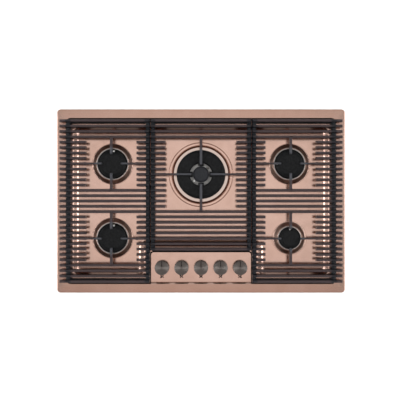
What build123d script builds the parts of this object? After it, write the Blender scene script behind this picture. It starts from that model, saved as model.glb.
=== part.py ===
from build123d import *
import math
import os

# Five-burner gas cooktop. Millimetres, +Z up, front (knobs) at -Y.
# Z = 0 is the flat underside of the casing; X = Y = 0 is the middle of the plate.

# ---- Top plate -------------------------------------------------------------
PLATE_WIDTH = 800.0
PLATE_DEPTH = 510.0
PLATE_CORNER_R = 9.0
PLATE_EDGE_R = 3.0
PLATE_SHEET = 1.2
CASING_DEPTH = 48.0          # from the casing's underside to the worktop's face
RIM_HEIGHT = 6.0             # the raised border above the worktop
BORDER = 26.5                # width of the raised border
LEDGE_DROP = 3.5             # from the border down to the ledge that carries the grates
LEDGE_WIDTH = 15.5           # from the border's step to the top of the basin wall
LEDGE_CORNER_R = 12.0
STEP_RUN = 2.0               # how far each small step leans over
BASIN_DEPTH = 8.5
BASIN_WALL_RUN = 14.0
BASIN_CORNER_R = 8.0         # at the basin's floor
PANEL_WIDTH = 279.0
PANEL_DEPTH = 87.0
PANEL_RISE = 2.0
PANEL_CORNER_R = 8.0
PANEL_LEDGE = 17.5           # ledge left between the panel and the basin

# ---- Casing, seal and fixings ----------------------------------------------
TRAY_SHEET = 1.0
TRAY_FLANGE = 5.0
TRAY_CORNER_R = 12.0
TRAY_INSET_X = 11.5          # from the border's step to the casing's side walls
TRAY_INSET_Y = 5.75          # and to its front and back walls
POCKET_LENGTH = 64.0
POCKET_HEIGHT = 16.0
SEAL_WIDTH = 15.0
SEAL_INSET = 1.6
CLAMP_THICKNESS = 2.0
CLAMP_WIDTH = 14.0
CLAMP_HEIGHT = 34.0
CLAMP_FOOT = 30.0
CLAMP_Z = 6.0
CLAMP_X = 230.0
SCREW_R = 2.0
SCREW_HEAD_R = 3.3
SCREW_HEAD_H = 2.2
SCREW_LENGTH = 8.0
SCREW_PLAY = 0.2
SCREW_SLOT = 0.8
SCREW_END_GAP = 1.0          # left under a screw in its hole
DRILL = 8.0                  # length of a cutter that goes through a sheet or wall
GLAND_R = 6.0
GLAND_BORE_R = 3.5
GLAND_LENGTH = 10.0
GLAND_FLANGE = 2.0
GLAND_X = 200.0
GLAND_Z = 14.0

# ---- Grates ----------------------------------------------------------------
ROW_PITCH = 14.7
BURNER_ROW = 7               # rows of bars count from the middle row, 0
CENTRE_ROW = 5
INNER_FULL_ROW = 2           # full bars from this row towards the middle row
OUTER_FULL_ROW = 12          # full bars from this row outwards
BAR_WIDTH = 7.4
BAR_TOP_WIDTH = 5.4
BAR_HEIGHT = 14.0
BAR_END_SLOPE = 3.0
BAR_EDGE_R = 1.0
ARM_WIDTH = 5.2
ARM_TIP_RISE = 6.0
ARM_TIP_SLOPE = 2.5
ARM_REACH = 25.0             # from a burner's axis to the arm's tip
GRATE_TOP = 41.0             # above the basin's floor
RAIL_WIDTH = 9.0
RAIL_CORNER_R = 7.0
GRATE_GAP = 2.0
GRATE_MARGIN = 2.4           # between a rail and the border's step
PANEL_MARGIN = 1.2           # between a rail and the knob panel
FINGER_OVERHANG = 17.3
WINDOW_OUTER = 68.8          # from a side burner's axis to the outer fingers' tips
WINDOW_INNER = 70.8
WINDOW_CENTRE = 96.9
FOOT_HEIGHT = 2.5
FOOT_LENGTH = 16.0
FOOT_WIDTH = 8.0

# ---- Burners ---------------------------------------------------------------
BURNER_INSET = 9.9           # side burners stand this far in from the middle of their grate
COLLAR_RISE = 7.0
COLLAR_LEAN = 10.7
COLLAR_LIP = 1.0             # flat of the collar outside the crown's skirt
PLATFORM_R = 79.0            # stepped ring round the middle burner
PLATFORM_RISE = 5.0
PLATFORM_LEAN = 3.0
BEAD_R = 88.5
BEAD_WIDTH = 3.2
BEAD_RISE = 1.0
THROAT_PLAY = 0.3
CUP_WALL = 4.0
CUP_SPIGOT = 3.0
CUP_HOLE_PLAY = 0.4
CUP_FLANGE = 3.5
CUP_BOTTOM_Z = 4.0
CUP_FLOOR = 8.0
CROWN_SKIRT = 3.2
CROWN_LIP = 1.6
CROWN_HEIGHT = 9.0
CROWN_SPIGOT = 9.0
CROWN_WALL = 3.0
PORT_WIDTH = 1.8
PORT_DEPTH = 4.5
PORT_OVERCUT = 1.5           # length of a port's cutter for each 1 of its wall
CAP_HEIGHT = 6.0
CAP_RIM = 1.4
CAP_PLAY = 0.4
CAP_RING_H = 3.0
CAP_RING_WALL = 3.0
CERAMIC_R = 2.4
CERAMIC_SHOULDER_R = 3.6
CERAMIC_SHOULDER_H = 3.0
PROBE_PLAY = 0.3
PROBE_CROWN_PLAY = 0.8
CERAMIC_ABOVE_CAP_SEAT = 2.0
TIP_R = 0.6
TIP_LENGTH = 2.5
SENSOR_R = 2.0
BURNER_SCREW_GAP = 4.0
SCREW_POCKET_R = 3.9
SCREW_POCKET_H = 2.6
INJECTOR_SHANK_R = 3.9
INJECTOR_SHANK_H = 3.0
INJECTOR_HEX_R = 5.4
INJECTOR_HEX_H = 6.0
INJECTOR_JET_R = 1.0
THREAD_PLAY = 0.05

# Each kind of burner: radii of the cap, its flat, the crown's skirt, its port ring
# (outside and inside), the throat in the cup and the circle of the two probes.
RAPID = dict(cap=39.5, flat=29.0, skirt=44.0, port=37.0, port_in=28.6, throat=26.0, probe=35.2, ports=40)
SEMI = dict(cap=30.2, flat=20.5, skirt=32.8, port=28.0, port_in=18.2, throat=14.5, probe=24.7, ports=30)

# Middle burner, radii
TRIPLE_CAP_R = 66.5
TRIPLE_CAP_BEVEL = 7.5
TRIPLE_OPENING_R = 31.0
TRIPLE_INNER_FLAT_R = 34.5
TRIPLE_TAB_R = 24.2
TRIPLE_TAB_WIDTH = 15.5
TRIPLE_TAB_DROP = 1.2
TRIPLE_SKIRT_INSET = 2.5     # in from the cap's rim
TRIPLE_RING_INSET = 4.5
TRIPLE_OUTER_RING_WALL = 6.0
TRIPLE_INNER_RING_R = 31.6
TRIPLE_INNER_RING_WALL = 3.6
TRIPLE_THROAT_R = 44.0
TRIPLE_FLANGE_R = 58.0
TRIPLE_FEED_HOLE_R = 2.6
TRIPLE_FEED_HOLES = 12
TRIPLE_BASE = 4.0
TRIPLE_RING_TOP = 11.0
TRIPLE_CAP_H = 5.0
TRIPLE_PORTS_OUTER = 60
TRIPLE_PORTS_INNER = 28
PILOT_CAP_R = 22.4
PILOT_FLAT_R = 17.5
PILOT_RING_R = 21.0
PILOT_RING_WALL = 6.0
PILOT_RING_TOP = 13.0
PILOT_CAP_H = 6.0
PILOT_TUBE_R = 12.0
PILOT_TUBE_WALL = 3.0
TRIPLE_PROBE_R = 26.0
TRIPLE_ELECTRODE_ANGLE = 223.0
TRIPLE_SENSOR_ANGLE = 44.0
SLEEVE_WALL = 2.0
TRIPLE_INJECTOR_X = 30.0

# ---- Knobs and taps --------------------------------------------------------
PANEL_END = 31.5             # from a panel's end to the axis of its last knob
KNOB_FROM_STEP = 44.3        # from the border's step to the knobs' axes
KNOB_R = 18.75
KNOB_HEIGHT = 19.5
KNOB_GAP = 4.2               # between the knob at rest and the panel
KNOB_WALL = 2.6
KNOB_FACE = 6.0
KNOB_EDGE_R = 1.2
KNOB_GRIP = 0.8
KNOB_HUB_R = 7.0
KNOB_HUB_LIFT = 2.5
KNOB_LINE_WIDTH = 1.3
KNOB_LINE_DEPTH = 0.6
SPINDLE_R = 4.0
SPINDLE_FLAT = 2.8
SPINDLE_PLAY = 0.06
SPINDLE_IN_KNOB = 9.0
KNOB_TRAVEL = 3.5
SEAL_RING_R = 9.0
SEAL_RING_H = 1.5
SEAL_RING_PLAY = 0.35
PANEL_HOLE_PLAY = 1.5
TAP_SIZE = 22.0
TAP_CORNER_R = 3.0
TAP_TOP_Z = 40.0
TAP_COVER = 3.0
PLUG_R = 7.0
PLUG_PLAY = 0.06
PLUG_BOTTOM_Z = 15.0
PLUG_TOP_GAP = 1.0
PLUG_SOCKET = 18.0
PLUG_PORT_R = 1.5
PLUG_PORT_DROP = 2.0         # below the middle of the manifold
TAP_FLANGE_DEPTH = 5.2
MANIFOLD_SIZE = 16.0
MANIFOLD_WALL = 1.6
MANIFOLD_BOTTOM_Z = 15.0
MANIFOLD_OVERHANG = 28.0
SWITCH = (20.0, 9.0, 14.0)
SWITCH_Z = 24.0

# ---- Pipes, leads, inlet ---------------------------------------------------
PIPE_R = 4.0
PIPE_WALL = 1.0
PIPE_Z = 8.5
PIPE_BEND_R = 18.0
CROSS_PIPE_Y = -40.0        # where the rear burners' pipes run sideways
NUT_R = 6.2
NUT_LENGTH = 8.0
BOSS_R = 6.0
BOSS_LENGTH = 6.0
SUPPLY_R = 5.0
INLET_FROM_SIDE = 44.0       # from the casing's side wall to the inlet's axis
SUPPLY_BEND_R = 25.0
INLET_THREAD_R = 10.478      # G 1/2
INLET_BORE_R = 7.0
INLET_BODY = 28.0
INLET_BODY_H = 14.0
INLET_END_Z = 2.0
INLET_FROM_BACK = 32.0
INLET_NECK_R = 12.5          # thicker part that the locknut grips
INLET_THREAD_LENGTH = 10.0
LOCKNUT_R = 18.0
LOCKNUT_H = 4.0
LEAD_R = 1.0
LEAD_BEND_R = 2.0
MODULE = (62.0, 42.0, 24.0)
MODULE_FROM_BURNER = 54.0    # from the rear left burner's axis to the igniter's middle
MODULE_FROM_BACK = 40.75     # from the casing's back wall
LEAD_PITCH = 7.0
LEAD_FRONT_RIGHT_X = 150.0   # where two leads turn towards the right-hand burners
LEAD_REAR_RIGHT_X = 180.0

# ---- Heights and edges that follow -----------------------------------------
RIM_Z = CASING_DEPTH + RIM_HEIGHT
LEDGE_Z = RIM_Z - LEDGE_DROP
PANEL_Z = LEDGE_Z + PANEL_RISE
FLOOR_Z = LEDGE_Z - BASIN_DEPTH
GRATE_Z = FLOOR_Z + GRATE_TOP
BAR_Z = GRATE_Z - BAR_HEIGHT
RAIL_Z = LEDGE_Z + FOOT_HEIGHT
COLLAR_Z = FLOOR_Z + COLLAR_RISE
CAP_SEAT_Z = COLLAR_Z + CROWN_HEIGHT
PLATFORM_Z = FLOOR_Z + PLATFORM_RISE
KNOB_Z = PANEL_Z + KNOB_GAP
LEDGE_X = PLATE_WIDTH / 2 - BORDER
LEDGE_Y = PLATE_DEPTH / 2 - BORDER
BASIN_X = LEDGE_X - LEDGE_WIDTH
BASIN_Y = LEDGE_Y - LEDGE_WIDTH
PANEL_BACK_Y = -LEDGE_Y + PANEL_DEPTH
TRAY_X = LEDGE_X - TRAY_INSET_X
TRAY_Y = LEDGE_Y - TRAY_INSET_Y
GRATE_X = LEDGE_X - GRATE_MARGIN
GRATE_Y = LEDGE_Y - GRATE_MARGIN
SIDE_INNER_X = PANEL_WIDTH / 2 + PANEL_MARGIN
BURNER_X = (GRATE_X + SIDE_INNER_X) / 2 - BURNER_INSET
CENTRE_X = SIDE_INNER_X - GRATE_GAP
CENTRE_FRONT_Y = PANEL_BACK_Y + PANEL_MARGIN
OUTER_ROW = math.floor(GRATE_Y / ROW_PITCH)
CENTRE_LAST_ROW = math.ceil(CENTRE_FRONT_Y / ROW_PITCH)
KNOB_PITCH = (PANEL_WIDTH - 2 * PANEL_END) / 4
KNOB_Y = -LEDGE_Y + KNOB_FROM_STEP
TAP_BACK_Y = KNOB_Y + TAP_SIZE / 2
MANIFOLD_Y = TAP_BACK_Y + TAP_FLANGE_DEPTH
SUPPLY_X = TRAY_X - INLET_FROM_SIDE
INLET_Y = TRAY_Y - INLET_FROM_BACK
MODULE_X = -BURNER_X - MODULE_FROM_BURNER
MODULE_Y = TRAY_Y - MODULE_FROM_BACK
TRIPLE_FLAT_R = TRIPLE_CAP_R - TRIPLE_CAP_BEVEL
TRIPLE_SKIRT_R = TRIPLE_CAP_R - TRIPLE_SKIRT_INSET
TRIPLE_OUTER_RING_R = TRIPLE_CAP_R - TRIPLE_RING_INSET

# Name, X, Y, kind, direction of its electrode in degrees
SIDE_BURNERS = [
    ("rear_left", -BURNER_X, BURNER_ROW * ROW_PITCH, RAPID, 82.0),
    ("rear_right", BURNER_X, BURNER_ROW * ROW_PITCH, RAPID, 180.0),
    ("front_left", -BURNER_X, -BURNER_ROW * ROW_PITCH, RAPID, 82.0),
    ("front_right", BURNER_X, -BURNER_ROW * ROW_PITCH, SEMI, 90.0),
]
CENTRE_Y = CENTRE_ROW * ROW_PITCH
KNOBS = [
    ("front_left", -2 * KNOB_PITCH),
    ("rear_left", -KNOB_PITCH),
    ("centre", 0.0),
    ("rear_right", KNOB_PITCH),
    ("front_right", 2 * KNOB_PITCH),
]
HALF_TURN = 180.0            # the flame sensor stands across the burner from the electrode
SCREW_TURN = 45.0
TOWARD_FRONT = -90.0


# ---- Helpers ---------------------------------------------------------------
def turned(points, x=0.0, y=0.0):
    """Solid of revolution about the vertical through x, y from (radius, z) points."""
    profile = make_face(Polyline(*points, close=True))
    return Pos(x, y, 0) * revolve(Plane.XZ * profile, Axis.Z)


def rod(x, y, z0, z1, r):
    """Upright cylinder from z0 to z1."""
    return Pos(x, y, (z0 + z1) / 2) * Cylinder(r, z1 - z0)


def tube(x, y, z0, z1, r_out, r_in):
    return rod(x, y, z0, z1, r_out) - rod(x, y, z0, z1, r_in)


def block(x0, x1, y0, y1, z0, z1):
    centre = Pos((x0 + x1) / 2, (y0 + y1) / 2, (z0 + z1) / 2)
    return centre * Box(abs(x1 - x0), abs(y1 - y0), abs(z1 - z0))


def rounded_block(half_x, half_y, r, z0, z1):
    """Upright block with rounded corners, centred on the origin."""
    return extrude(Pos(0, 0, z0) * RectangleRounded(2 * half_x, 2 * half_y, r), z1 - z0)


def leaning(outline_low, outline_high, z0, z1):
    """Solid between two outlines of like corners."""
    return loft([Pos(0, 0, z0) * outline_low, Pos(0, 0, z1) * outline_high], ruled=True)


def polar(x, y, r, degrees):
    angle = math.radians(degrees)
    return x + r * math.cos(angle), y + r * math.sin(angle)


def hexagon(across_r, length):
    return extrude(RegularPolygon(across_r, 6), length)


def merged(shapes):
    """Separate solids kept side by side in one shape."""
    return Compound(children=list(shapes))


def write(name, shape):
    export_step(shape, f"parts/{name}.step")


# ---- Top plate -------------------------------------------------------------
def basin_outline(inset):
    """Basin outline round the knob panel, drawn in from its top edge by inset."""
    bx, by = BASIN_X - inset, BASIN_Y - inset
    nx = PANEL_WIDTH / 2 + PANEL_LEDGE + inset
    ny = PANEL_BACK_Y + PANEL_LEDGE + inset
    r_out = BASIN_CORNER_R + BASIN_WALL_RUN - inset
    r_in = PANEL_CORNER_R + inset
    points = [(-bx, -by), (-nx, -by), (-nx, ny), (nx, ny), (nx, -by), (bx, -by), (bx, by), (-bx, by)]
    radii = [r_out, r_out, r_in, r_in, r_out, r_out, r_out, r_out]
    return make_face(FilletPolyline(*points, radius=radii, close=True))


def panel_outline(grow):
    """Knob panel outline; its front runs on under the border."""
    half = PANEL_WIDTH / 2 + grow
    back = PANEL_BACK_Y + grow
    front = -LEDGE_Y - STEP_RUN
    r = PANEL_CORNER_R + grow
    points = [(-half, front), (half, front), (half, back), (-half, back)]
    return make_face(FilletPolyline(*points, radius=[0, 0, r, r], close=True))


def plate_mass():
    """Everything below the plate's top face, down to the casing's underside."""
    mass = rounded_block(PLATE_WIDTH / 2, PLATE_DEPTH / 2, PLATE_CORNER_R, 0, RIM_Z)
    mass = fillet(mass.faces().sort_by(Axis.Z)[-1].edges(), PLATE_EDGE_R)
    ledge = RectangleRounded(2 * LEDGE_X, 2 * LEDGE_Y, LEDGE_CORNER_R)
    brim = RectangleRounded(2 * (LEDGE_X + STEP_RUN), 2 * (LEDGE_Y + STEP_RUN), LEDGE_CORNER_R + STEP_RUN)
    recess = leaning(ledge, brim, LEDGE_Z, RIM_Z)
    recess -= leaning(panel_outline(STEP_RUN / 2), panel_outline(0), LEDGE_Z, PANEL_Z)
    mass -= recess
    mass -= leaning(basin_outline(BASIN_WALL_RUN), basin_outline(0), FLOOR_Z, LEDGE_Z)
    for _, x, y, kind, _ in SIDE_BURNERS:
        top_r = kind["skirt"] + COLLAR_LIP
        mass += Pos(x, y, FLOOR_Z + COLLAR_RISE / 2) * Cone(top_r + COLLAR_LEAN, top_r, COLLAR_RISE)
    platform = Cone(PLATFORM_R, PLATFORM_R - PLATFORM_LEAN, PLATFORM_RISE)
    mass += Pos(0, CENTRE_Y, FLOOR_Z + PLATFORM_RISE / 2) * platform
    half_bead = BEAD_WIDTH / 2
    bead = [(BEAD_R - half_bead, FLOOR_Z), (BEAD_R + half_bead, FLOOR_Z), (BEAD_R, FLOOR_Z + BEAD_RISE)]
    mass += turned(bead, 0, CENTRE_Y)
    return mass


def cup_hole_r(kind):
    return kind["throat"] + THROAT_PLAY + CUP_SPIGOT + CUP_HOLE_PLAY


def screw_places(x, y, hole_r, turn):
    """The two screws that hold a burner's cup to the plate."""
    return [polar(x, y, hole_r + BURNER_SCREW_GAP, turn + half) for half in (0, HALF_TURN)]


def probe_places(x, y, r, turn):
    """Electrode and flame sensor beside a burner."""
    return [polar(x, y, r, turn), polar(x, y, r, turn + HALF_TURN)]


def centre_probes():
    turns = (TRIPLE_ELECTRODE_ANGLE, TRIPLE_SENSOR_ANGLE)
    return [polar(0, CENTRE_Y, TRIPLE_PROBE_R, turn) for turn in turns]


def centre_hole_r():
    return TRIPLE_THROAT_R + THROAT_PLAY + CUP_SPIGOT + CUP_HOLE_PLAY


def hob_plate():
    """Pressed sheet: the mass under the top face less the same mass lowered by the sheet."""
    mass = plate_mass()
    half_x, half_y = PLATE_WIDTH / 2 - PLATE_SHEET, PLATE_DEPTH / 2 - PLATE_SHEET
    column = rounded_block(half_x, half_y, PLATE_CORNER_R - PLATE_SHEET, -PLATE_SHEET, RIM_Z)
    plate = mass - ((Pos(0, 0, -PLATE_SHEET) * mass) & column)
    below = rounded_block(PLATE_WIDTH, PLATE_DEPTH, PLATE_CORNER_R, -PLATE_SHEET, CASING_DEPTH)
    below -= rounded_block(LEDGE_X, LEDGE_Y, LEDGE_CORNER_R, -PLATE_SHEET, CASING_DEPTH)
    plate -= below
    for _, x, y, kind, turn in SIDE_BURNERS:
        plate -= rod(x, y, 0, RIM_Z, cup_hole_r(kind))
        for px, py in probe_places(x, y, kind["probe"], turn):
            plate -= rod(px, py, 0, RIM_Z, CERAMIC_R + PROBE_PLAY)
        for px, py in screw_places(x, y, cup_hole_r(kind), turn + SCREW_TURN):
            plate -= rod(px, py, 0, RIM_Z, SCREW_R + SCREW_PLAY)
    plate -= rod(0, CENTRE_Y, 0, RIM_Z, centre_hole_r())
    for px, py in screw_places(0, CENTRE_Y, centre_hole_r(), SCREW_TURN):
        plate -= rod(px, py, 0, RIM_Z, SCREW_R + SCREW_PLAY)
    for _, x in KNOBS:
        plate -= rod(x, KNOB_Y, CASING_DEPTH, RIM_Z, SPINDLE_R + PANEL_HOLE_PLAY)
    return plate


# ---- Casing, seal, fixings -------------------------------------------------
def pocket_corner():
    return TRAY_X - POCKET_LENGTH, TRAY_Y - POCKET_LENGTH


def base_tray():
    """Open pan with an outward flange and a raised pocket for the gas inlet."""
    top = LEDGE_Z - PLATE_SHEET
    tray = rounded_block(TRAY_X, TRAY_Y, TRAY_CORNER_R, 0, top)
    in_x, in_y, in_r = TRAY_X - TRAY_SHEET, TRAY_Y - TRAY_SHEET, TRAY_CORNER_R - TRAY_SHEET
    hollow = rounded_block(in_x, in_y, in_r, TRAY_SHEET, top)
    px, py = pocket_corner()
    wide = block(px - TRAY_SHEET, TRAY_X, py - TRAY_SHEET, TRAY_Y, 0, POCKET_HEIGHT + TRAY_SHEET)
    tray -= hollow - wide
    tray -= block(px, TRAY_X + TRAY_FLANGE, py, TRAY_Y + TRAY_FLANGE, 0, POCKET_HEIGHT)
    flange = rounded_block(
        TRAY_X + TRAY_FLANGE, TRAY_Y + TRAY_FLANGE, TRAY_CORNER_R + TRAY_FLANGE, top - TRAY_SHEET, top
    )
    tray += flange - rounded_block(in_x, in_y, in_r, 0, top)
    tray -= Pos(SUPPLY_X, INLET_Y, POCKET_HEIGHT) * Cylinder(INLET_NECK_R + SCREW_PLAY, DRILL)
    gland_hole = Rot(90, 0, 0) * Cylinder(GLAND_R + SCREW_PLAY, DRILL)
    tray -= Pos(GLAND_X, TRAY_Y, GLAND_Z) * gland_hole
    for x, side in clamp_places():
        hole = Rot(90, 0, 0) * Cylinder(SCREW_R + SCREW_PLAY, DRILL)
        tray -= Pos(x, side * TRAY_Y, clamp_screw_z()) * hole
    return tray


def worktop_seal():
    """Foam strip in the hollow of the border, flush with the lip."""
    inset = PLATE_SHEET + SEAL_INSET
    top = RIM_Z - PLATE_SHEET
    half_x = PLATE_WIDTH / 2 - inset - PLATE_EDGE_R
    half_y = PLATE_DEPTH / 2 - inset - PLATE_EDGE_R
    outer = rounded_block(half_x, half_y, PLATE_CORNER_R, CASING_DEPTH, top)
    hollow = rounded_block(half_x - SEAL_WIDTH, half_y - SEAL_WIDTH, PLATE_CORNER_R, CASING_DEPTH, top)
    return outer - hollow


def clamp_places():
    """Position along X and side (-1 front, +1 back) of each fixing clamp."""
    return [(x, side) for x in (-CLAMP_X, CLAMP_X) for side in (-1, 1)]


def clamp_screw_z():
    return CLAMP_Z + CLAMP_HEIGHT - CLAMP_WIDTH / 2


def fixing_clamp(x, side):
    """Hook with its foot turned along the wall, as supplied."""
    y0 = side * TRAY_Y
    y1 = side * (TRAY_Y + CLAMP_THICKNESS)
    leg = block(x - CLAMP_WIDTH / 2, x + CLAMP_WIDTH / 2, y0, y1, CLAMP_Z, CLAMP_Z + CLAMP_HEIGHT)
    foot = block(x - CLAMP_WIDTH / 2, x + CLAMP_FOOT, y0, y1, CLAMP_Z, CLAMP_Z + CLAMP_WIDTH / 2)
    hole = Rot(90, 0, 0) * Cylinder(SCREW_R + SCREW_PLAY, DRILL)
    return leg + foot - Pos(x, y0, clamp_screw_z()) * hole


def screw():
    """Pan-head screw, head up, with the head's underside at the origin."""
    body = rod(0, 0, 0, SCREW_HEAD_H, SCREW_HEAD_R) + rod(0, 0, -SCREW_LENGTH, 0, SCREW_R)
    return body - Pos(0, 0, SCREW_HEAD_H) * Box(2 * SCREW_R, SCREW_SLOT, SCREW_HEAD_H)


def cable_gland():
    wall = TRAY_Y
    body = Cylinder(GLAND_R, GLAND_LENGTH) + Pos(0, 0, GLAND_LENGTH / 2 - GLAND_FLANGE / 2) * Cylinder(
        GLAND_R + GLAND_FLANGE, GLAND_FLANGE
    )
    body -= Cylinder(GLAND_BORE_R, GLAND_LENGTH)
    return Pos(GLAND_X, wall + GLAND_FLANGE - GLAND_LENGTH / 2, GLAND_Z) * Rot(-90, 0, 0) * body


# ---- Grates ----------------------------------------------------------------
def bar(x0, x1, row, slope0=BAR_END_SLOPE, slope1=BAR_END_SLOPE):
    """One bar along X, narrower at its top, its ends leaning in by the slopes."""
    y = row * ROW_PITCH
    low = Pos((x0 + x1) / 2, y) * Rectangle(x1 - x0, BAR_WIDTH)
    top_x0, top_x1 = x0 + slope0, x1 - slope1
    high = Pos((top_x0 + top_x1) / 2, y) * Rectangle(top_x1 - top_x0, BAR_TOP_WIDTH)
    solid = leaning(low, high, BAR_Z, GRATE_Z)
    return fillet(solid.faces().sort_by(Axis.Z)[-1].edges(), BAR_EDGE_R)


def arm(length):
    """Arm along +X from its root at X = 0; its underside rises towards the tip."""
    points = [
        (0, BAR_Z),
        (length, BAR_Z + ARM_TIP_RISE),
        (length - ARM_TIP_SLOPE, GRATE_Z),
        (0, GRATE_Z),
    ]
    solid = extrude(Plane.XZ * make_face(Polyline(*points, close=True)), ARM_WIDTH / 2, both=True)
    top = solid.faces().sort_by(Axis.Z)[-1]
    return fillet(top.edges(), BAR_EDGE_R)


def burner_arms(x, y, reach_west, reach_east, bar_north, bar_south):
    """Four arms round a burner; north and south ones start at the sides of full bars."""
    west = Pos(x - reach_west, y) * arm(reach_west - ARM_REACH)
    east = Pos(x + reach_east, y) * Rot(0, 0, 180) * arm(reach_east - ARM_REACH)
    north_y = bar_north * ROW_PITCH
    south_y = bar_south * ROW_PITCH
    north = Pos(x, north_y) * Rot(0, 0, -90) * arm(north_y - y - ARM_REACH)
    south = Pos(x, south_y) * Rot(0, 0, 90) * arm(y - south_y - ARM_REACH)
    span = ARM_WIDTH * 2
    north -= bar(x - span, x + span, bar_north, 0, 0)
    south -= bar(x - span, x + span, bar_south, 0, 0)
    return [west, east, north, south]


def rail_frame(x0, x1, y0, y1):
    """Four rails; the two along Y run full length and carry the rounded corners."""
    frame = []
    for x_out, x_in in ((x0, x0 + RAIL_WIDTH), (x1, x1 - RAIL_WIDTH)):
        rail = block(x_out, x_in, y0, y1, RAIL_Z, BAR_Z)
        upright = rail.edges().filter_by(Axis.Z)
        corners = [edge for edge in upright if abs(edge.center().X - x_out) < RAIL_WIDTH / 2]
        frame.append(fillet(corners, RAIL_CORNER_R))
    for y_out, y_in in ((y0, y0 + RAIL_WIDTH), (y1, y1 - RAIL_WIDTH)):
        frame.append(block(x0 + RAIL_WIDTH, x1 - RAIL_WIDTH, y_out, y_in, RAIL_Z, BAR_Z))
    return frame


def grate_side():
    """Left grate: rails, rows of bars and arms over its two burners."""
    x_tip, x_in = -GRATE_X - FINGER_OVERHANG, -SIDE_INNER_X
    solids = rail_frame(-GRATE_X, x_in, -GRATE_Y, GRATE_Y)
    for row in range(-OUTER_ROW, OUTER_ROW + 1):
        if abs(row) <= INNER_FULL_ROW or abs(row) >= OUTER_FULL_ROW:
            solids.append(bar(x_tip, x_in, row, slope1=0))
            continue
        inward = 0 if abs(row) == BURNER_ROW else BAR_END_SLOPE
        solids.append(bar(x_tip, -BURNER_X - WINDOW_OUTER, row, slope1=inward))
        solids.append(bar(-BURNER_X + WINDOW_INNER, x_in, row, slope0=inward, slope1=0))
    for sign in (-1, 1):
        near, far = sign * INNER_FULL_ROW, sign * OUTER_FULL_ROW
        north, south = max(near, far), min(near, far)
        y = sign * BURNER_ROW * ROW_PITCH
        solids += burner_arms(-BURNER_X, y, WINDOW_OUTER, WINDOW_INNER, north, south)
    return merged(solids)


def grate_centre():
    """Middle grate: ends behind the knob panel."""
    solids = rail_frame(-CENTRE_X, CENTRE_X, CENTRE_FRONT_Y, GRATE_Y)
    for row in range(CENTRE_LAST_ROW, OUTER_ROW + 1):
        if row <= -INNER_FULL_ROW or row >= OUTER_FULL_ROW:
            solids.append(bar(-CENTRE_X, CENTRE_X, row, 0, 0))
            continue
        inward = 0 if row == CENTRE_ROW else BAR_END_SLOPE
        solids.append(bar(-CENTRE_X, -WINDOW_CENTRE, row, 0, inward))
        solids.append(bar(WINDOW_CENTRE, CENTRE_X, row, inward, 0))
    solids += burner_arms(0, CENTRE_Y, WINDOW_CENTRE, WINDOW_CENTRE, OUTER_FULL_ROW, -INNER_FULL_ROW)
    return merged(solids)


def foot(x, y):
    """Rubber pad between a rail and the ledge."""
    return Pos(x, y, LEDGE_Z + FOOT_HEIGHT / 2) * Box(FOOT_LENGTH, FOOT_WIDTH, FOOT_HEIGHT)


def feet_side():
    rail_y = GRATE_Y - RAIL_WIDTH / 2
    xs = (-GRATE_X + FOOT_LENGTH, -SIDE_INNER_X - FOOT_LENGTH)
    return merged([foot(x, y) for x in xs for y in (-rail_y, rail_y)])


def feet_centre():
    x = CENTRE_X - FOOT_LENGTH
    back, front = GRATE_Y - RAIL_WIDTH / 2, CENTRE_FRONT_Y + RAIL_WIDTH / 2
    return merged([foot(side * x, y) for side in (-1, 1) for y in (back, front)])


# ---- Side burners ----------------------------------------------------------
def inlet_boss(x, y, r_body, direction):
    """Round boss on a cup for its feed pipe, with the channel to the middle."""
    length = r_body + BOSS_LENGTH
    turn = Pos(x, y, PIPE_Z) * Rot(0, 0, direction) * Rot(0, 90, 0)
    boss = turn * Pos(0, 0, length / 2) * Cylinder(BOSS_R, length)
    channel = turn * Pos(0, 0, length / 2) * Cylinder(PIPE_R - PIPE_WALL, length)
    return boss, channel


def burner_cup(x, y, kind, turn, feed_direction):
    """Cast cup hung under the plate: flange, spigot, chamber and injector seat."""
    bore = kind["throat"] + THROAT_PLAY
    body_r = bore + CUP_WALL
    under = COLLAR_Z - PLATE_SHEET
    flange_r = kind["skirt"] - COLLAR_LIP
    floor = CUP_BOTTOM_Z + CUP_FLOOR
    cup = rod(x, y, CUP_BOTTOM_Z, under, body_r) + rod(x, y, under - CUP_FLANGE, under, flange_r)
    cup += rod(x, y, under - CUP_FLANGE, COLLAR_Z, bore + CUP_SPIGOT)
    boss, channel = inlet_boss(x, y, body_r, feed_direction)
    cup += boss
    cup -= rod(x, y, floor, COLLAR_Z, bore)
    cup -= channel
    cup -= rod(x, y, PIPE_Z, floor, INJECTOR_SHANK_R + THREAD_PLAY)
    for px, py in probe_places(x, y, kind["probe"], turn):
        cup -= rod(px, py, under - CUP_FLANGE, COLLAR_Z, CERAMIC_R + PROBE_PLAY)
    for px, py in screw_places(x, y, cup_hole_r(kind), turn + SCREW_TURN):
        cup -= rod(px, py, COLLAR_Z - SCREW_LENGTH - SCREW_END_GAP, COLLAR_Z, SCREW_R + THREAD_PLAY)
    return cup


def flame_slots(x, y, z_top, r_mid, length, count, offset=0.0):
    """Radial flame ports cut down from z_top."""
    z = z_top - PORT_DEPTH / 2
    place = Pos(x, y, z) * Rot(0, 0, offset)
    return [place * spot * Box(length, PORT_WIDTH, PORT_DEPTH) for spot in PolarLocations(r_mid, count)]


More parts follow.
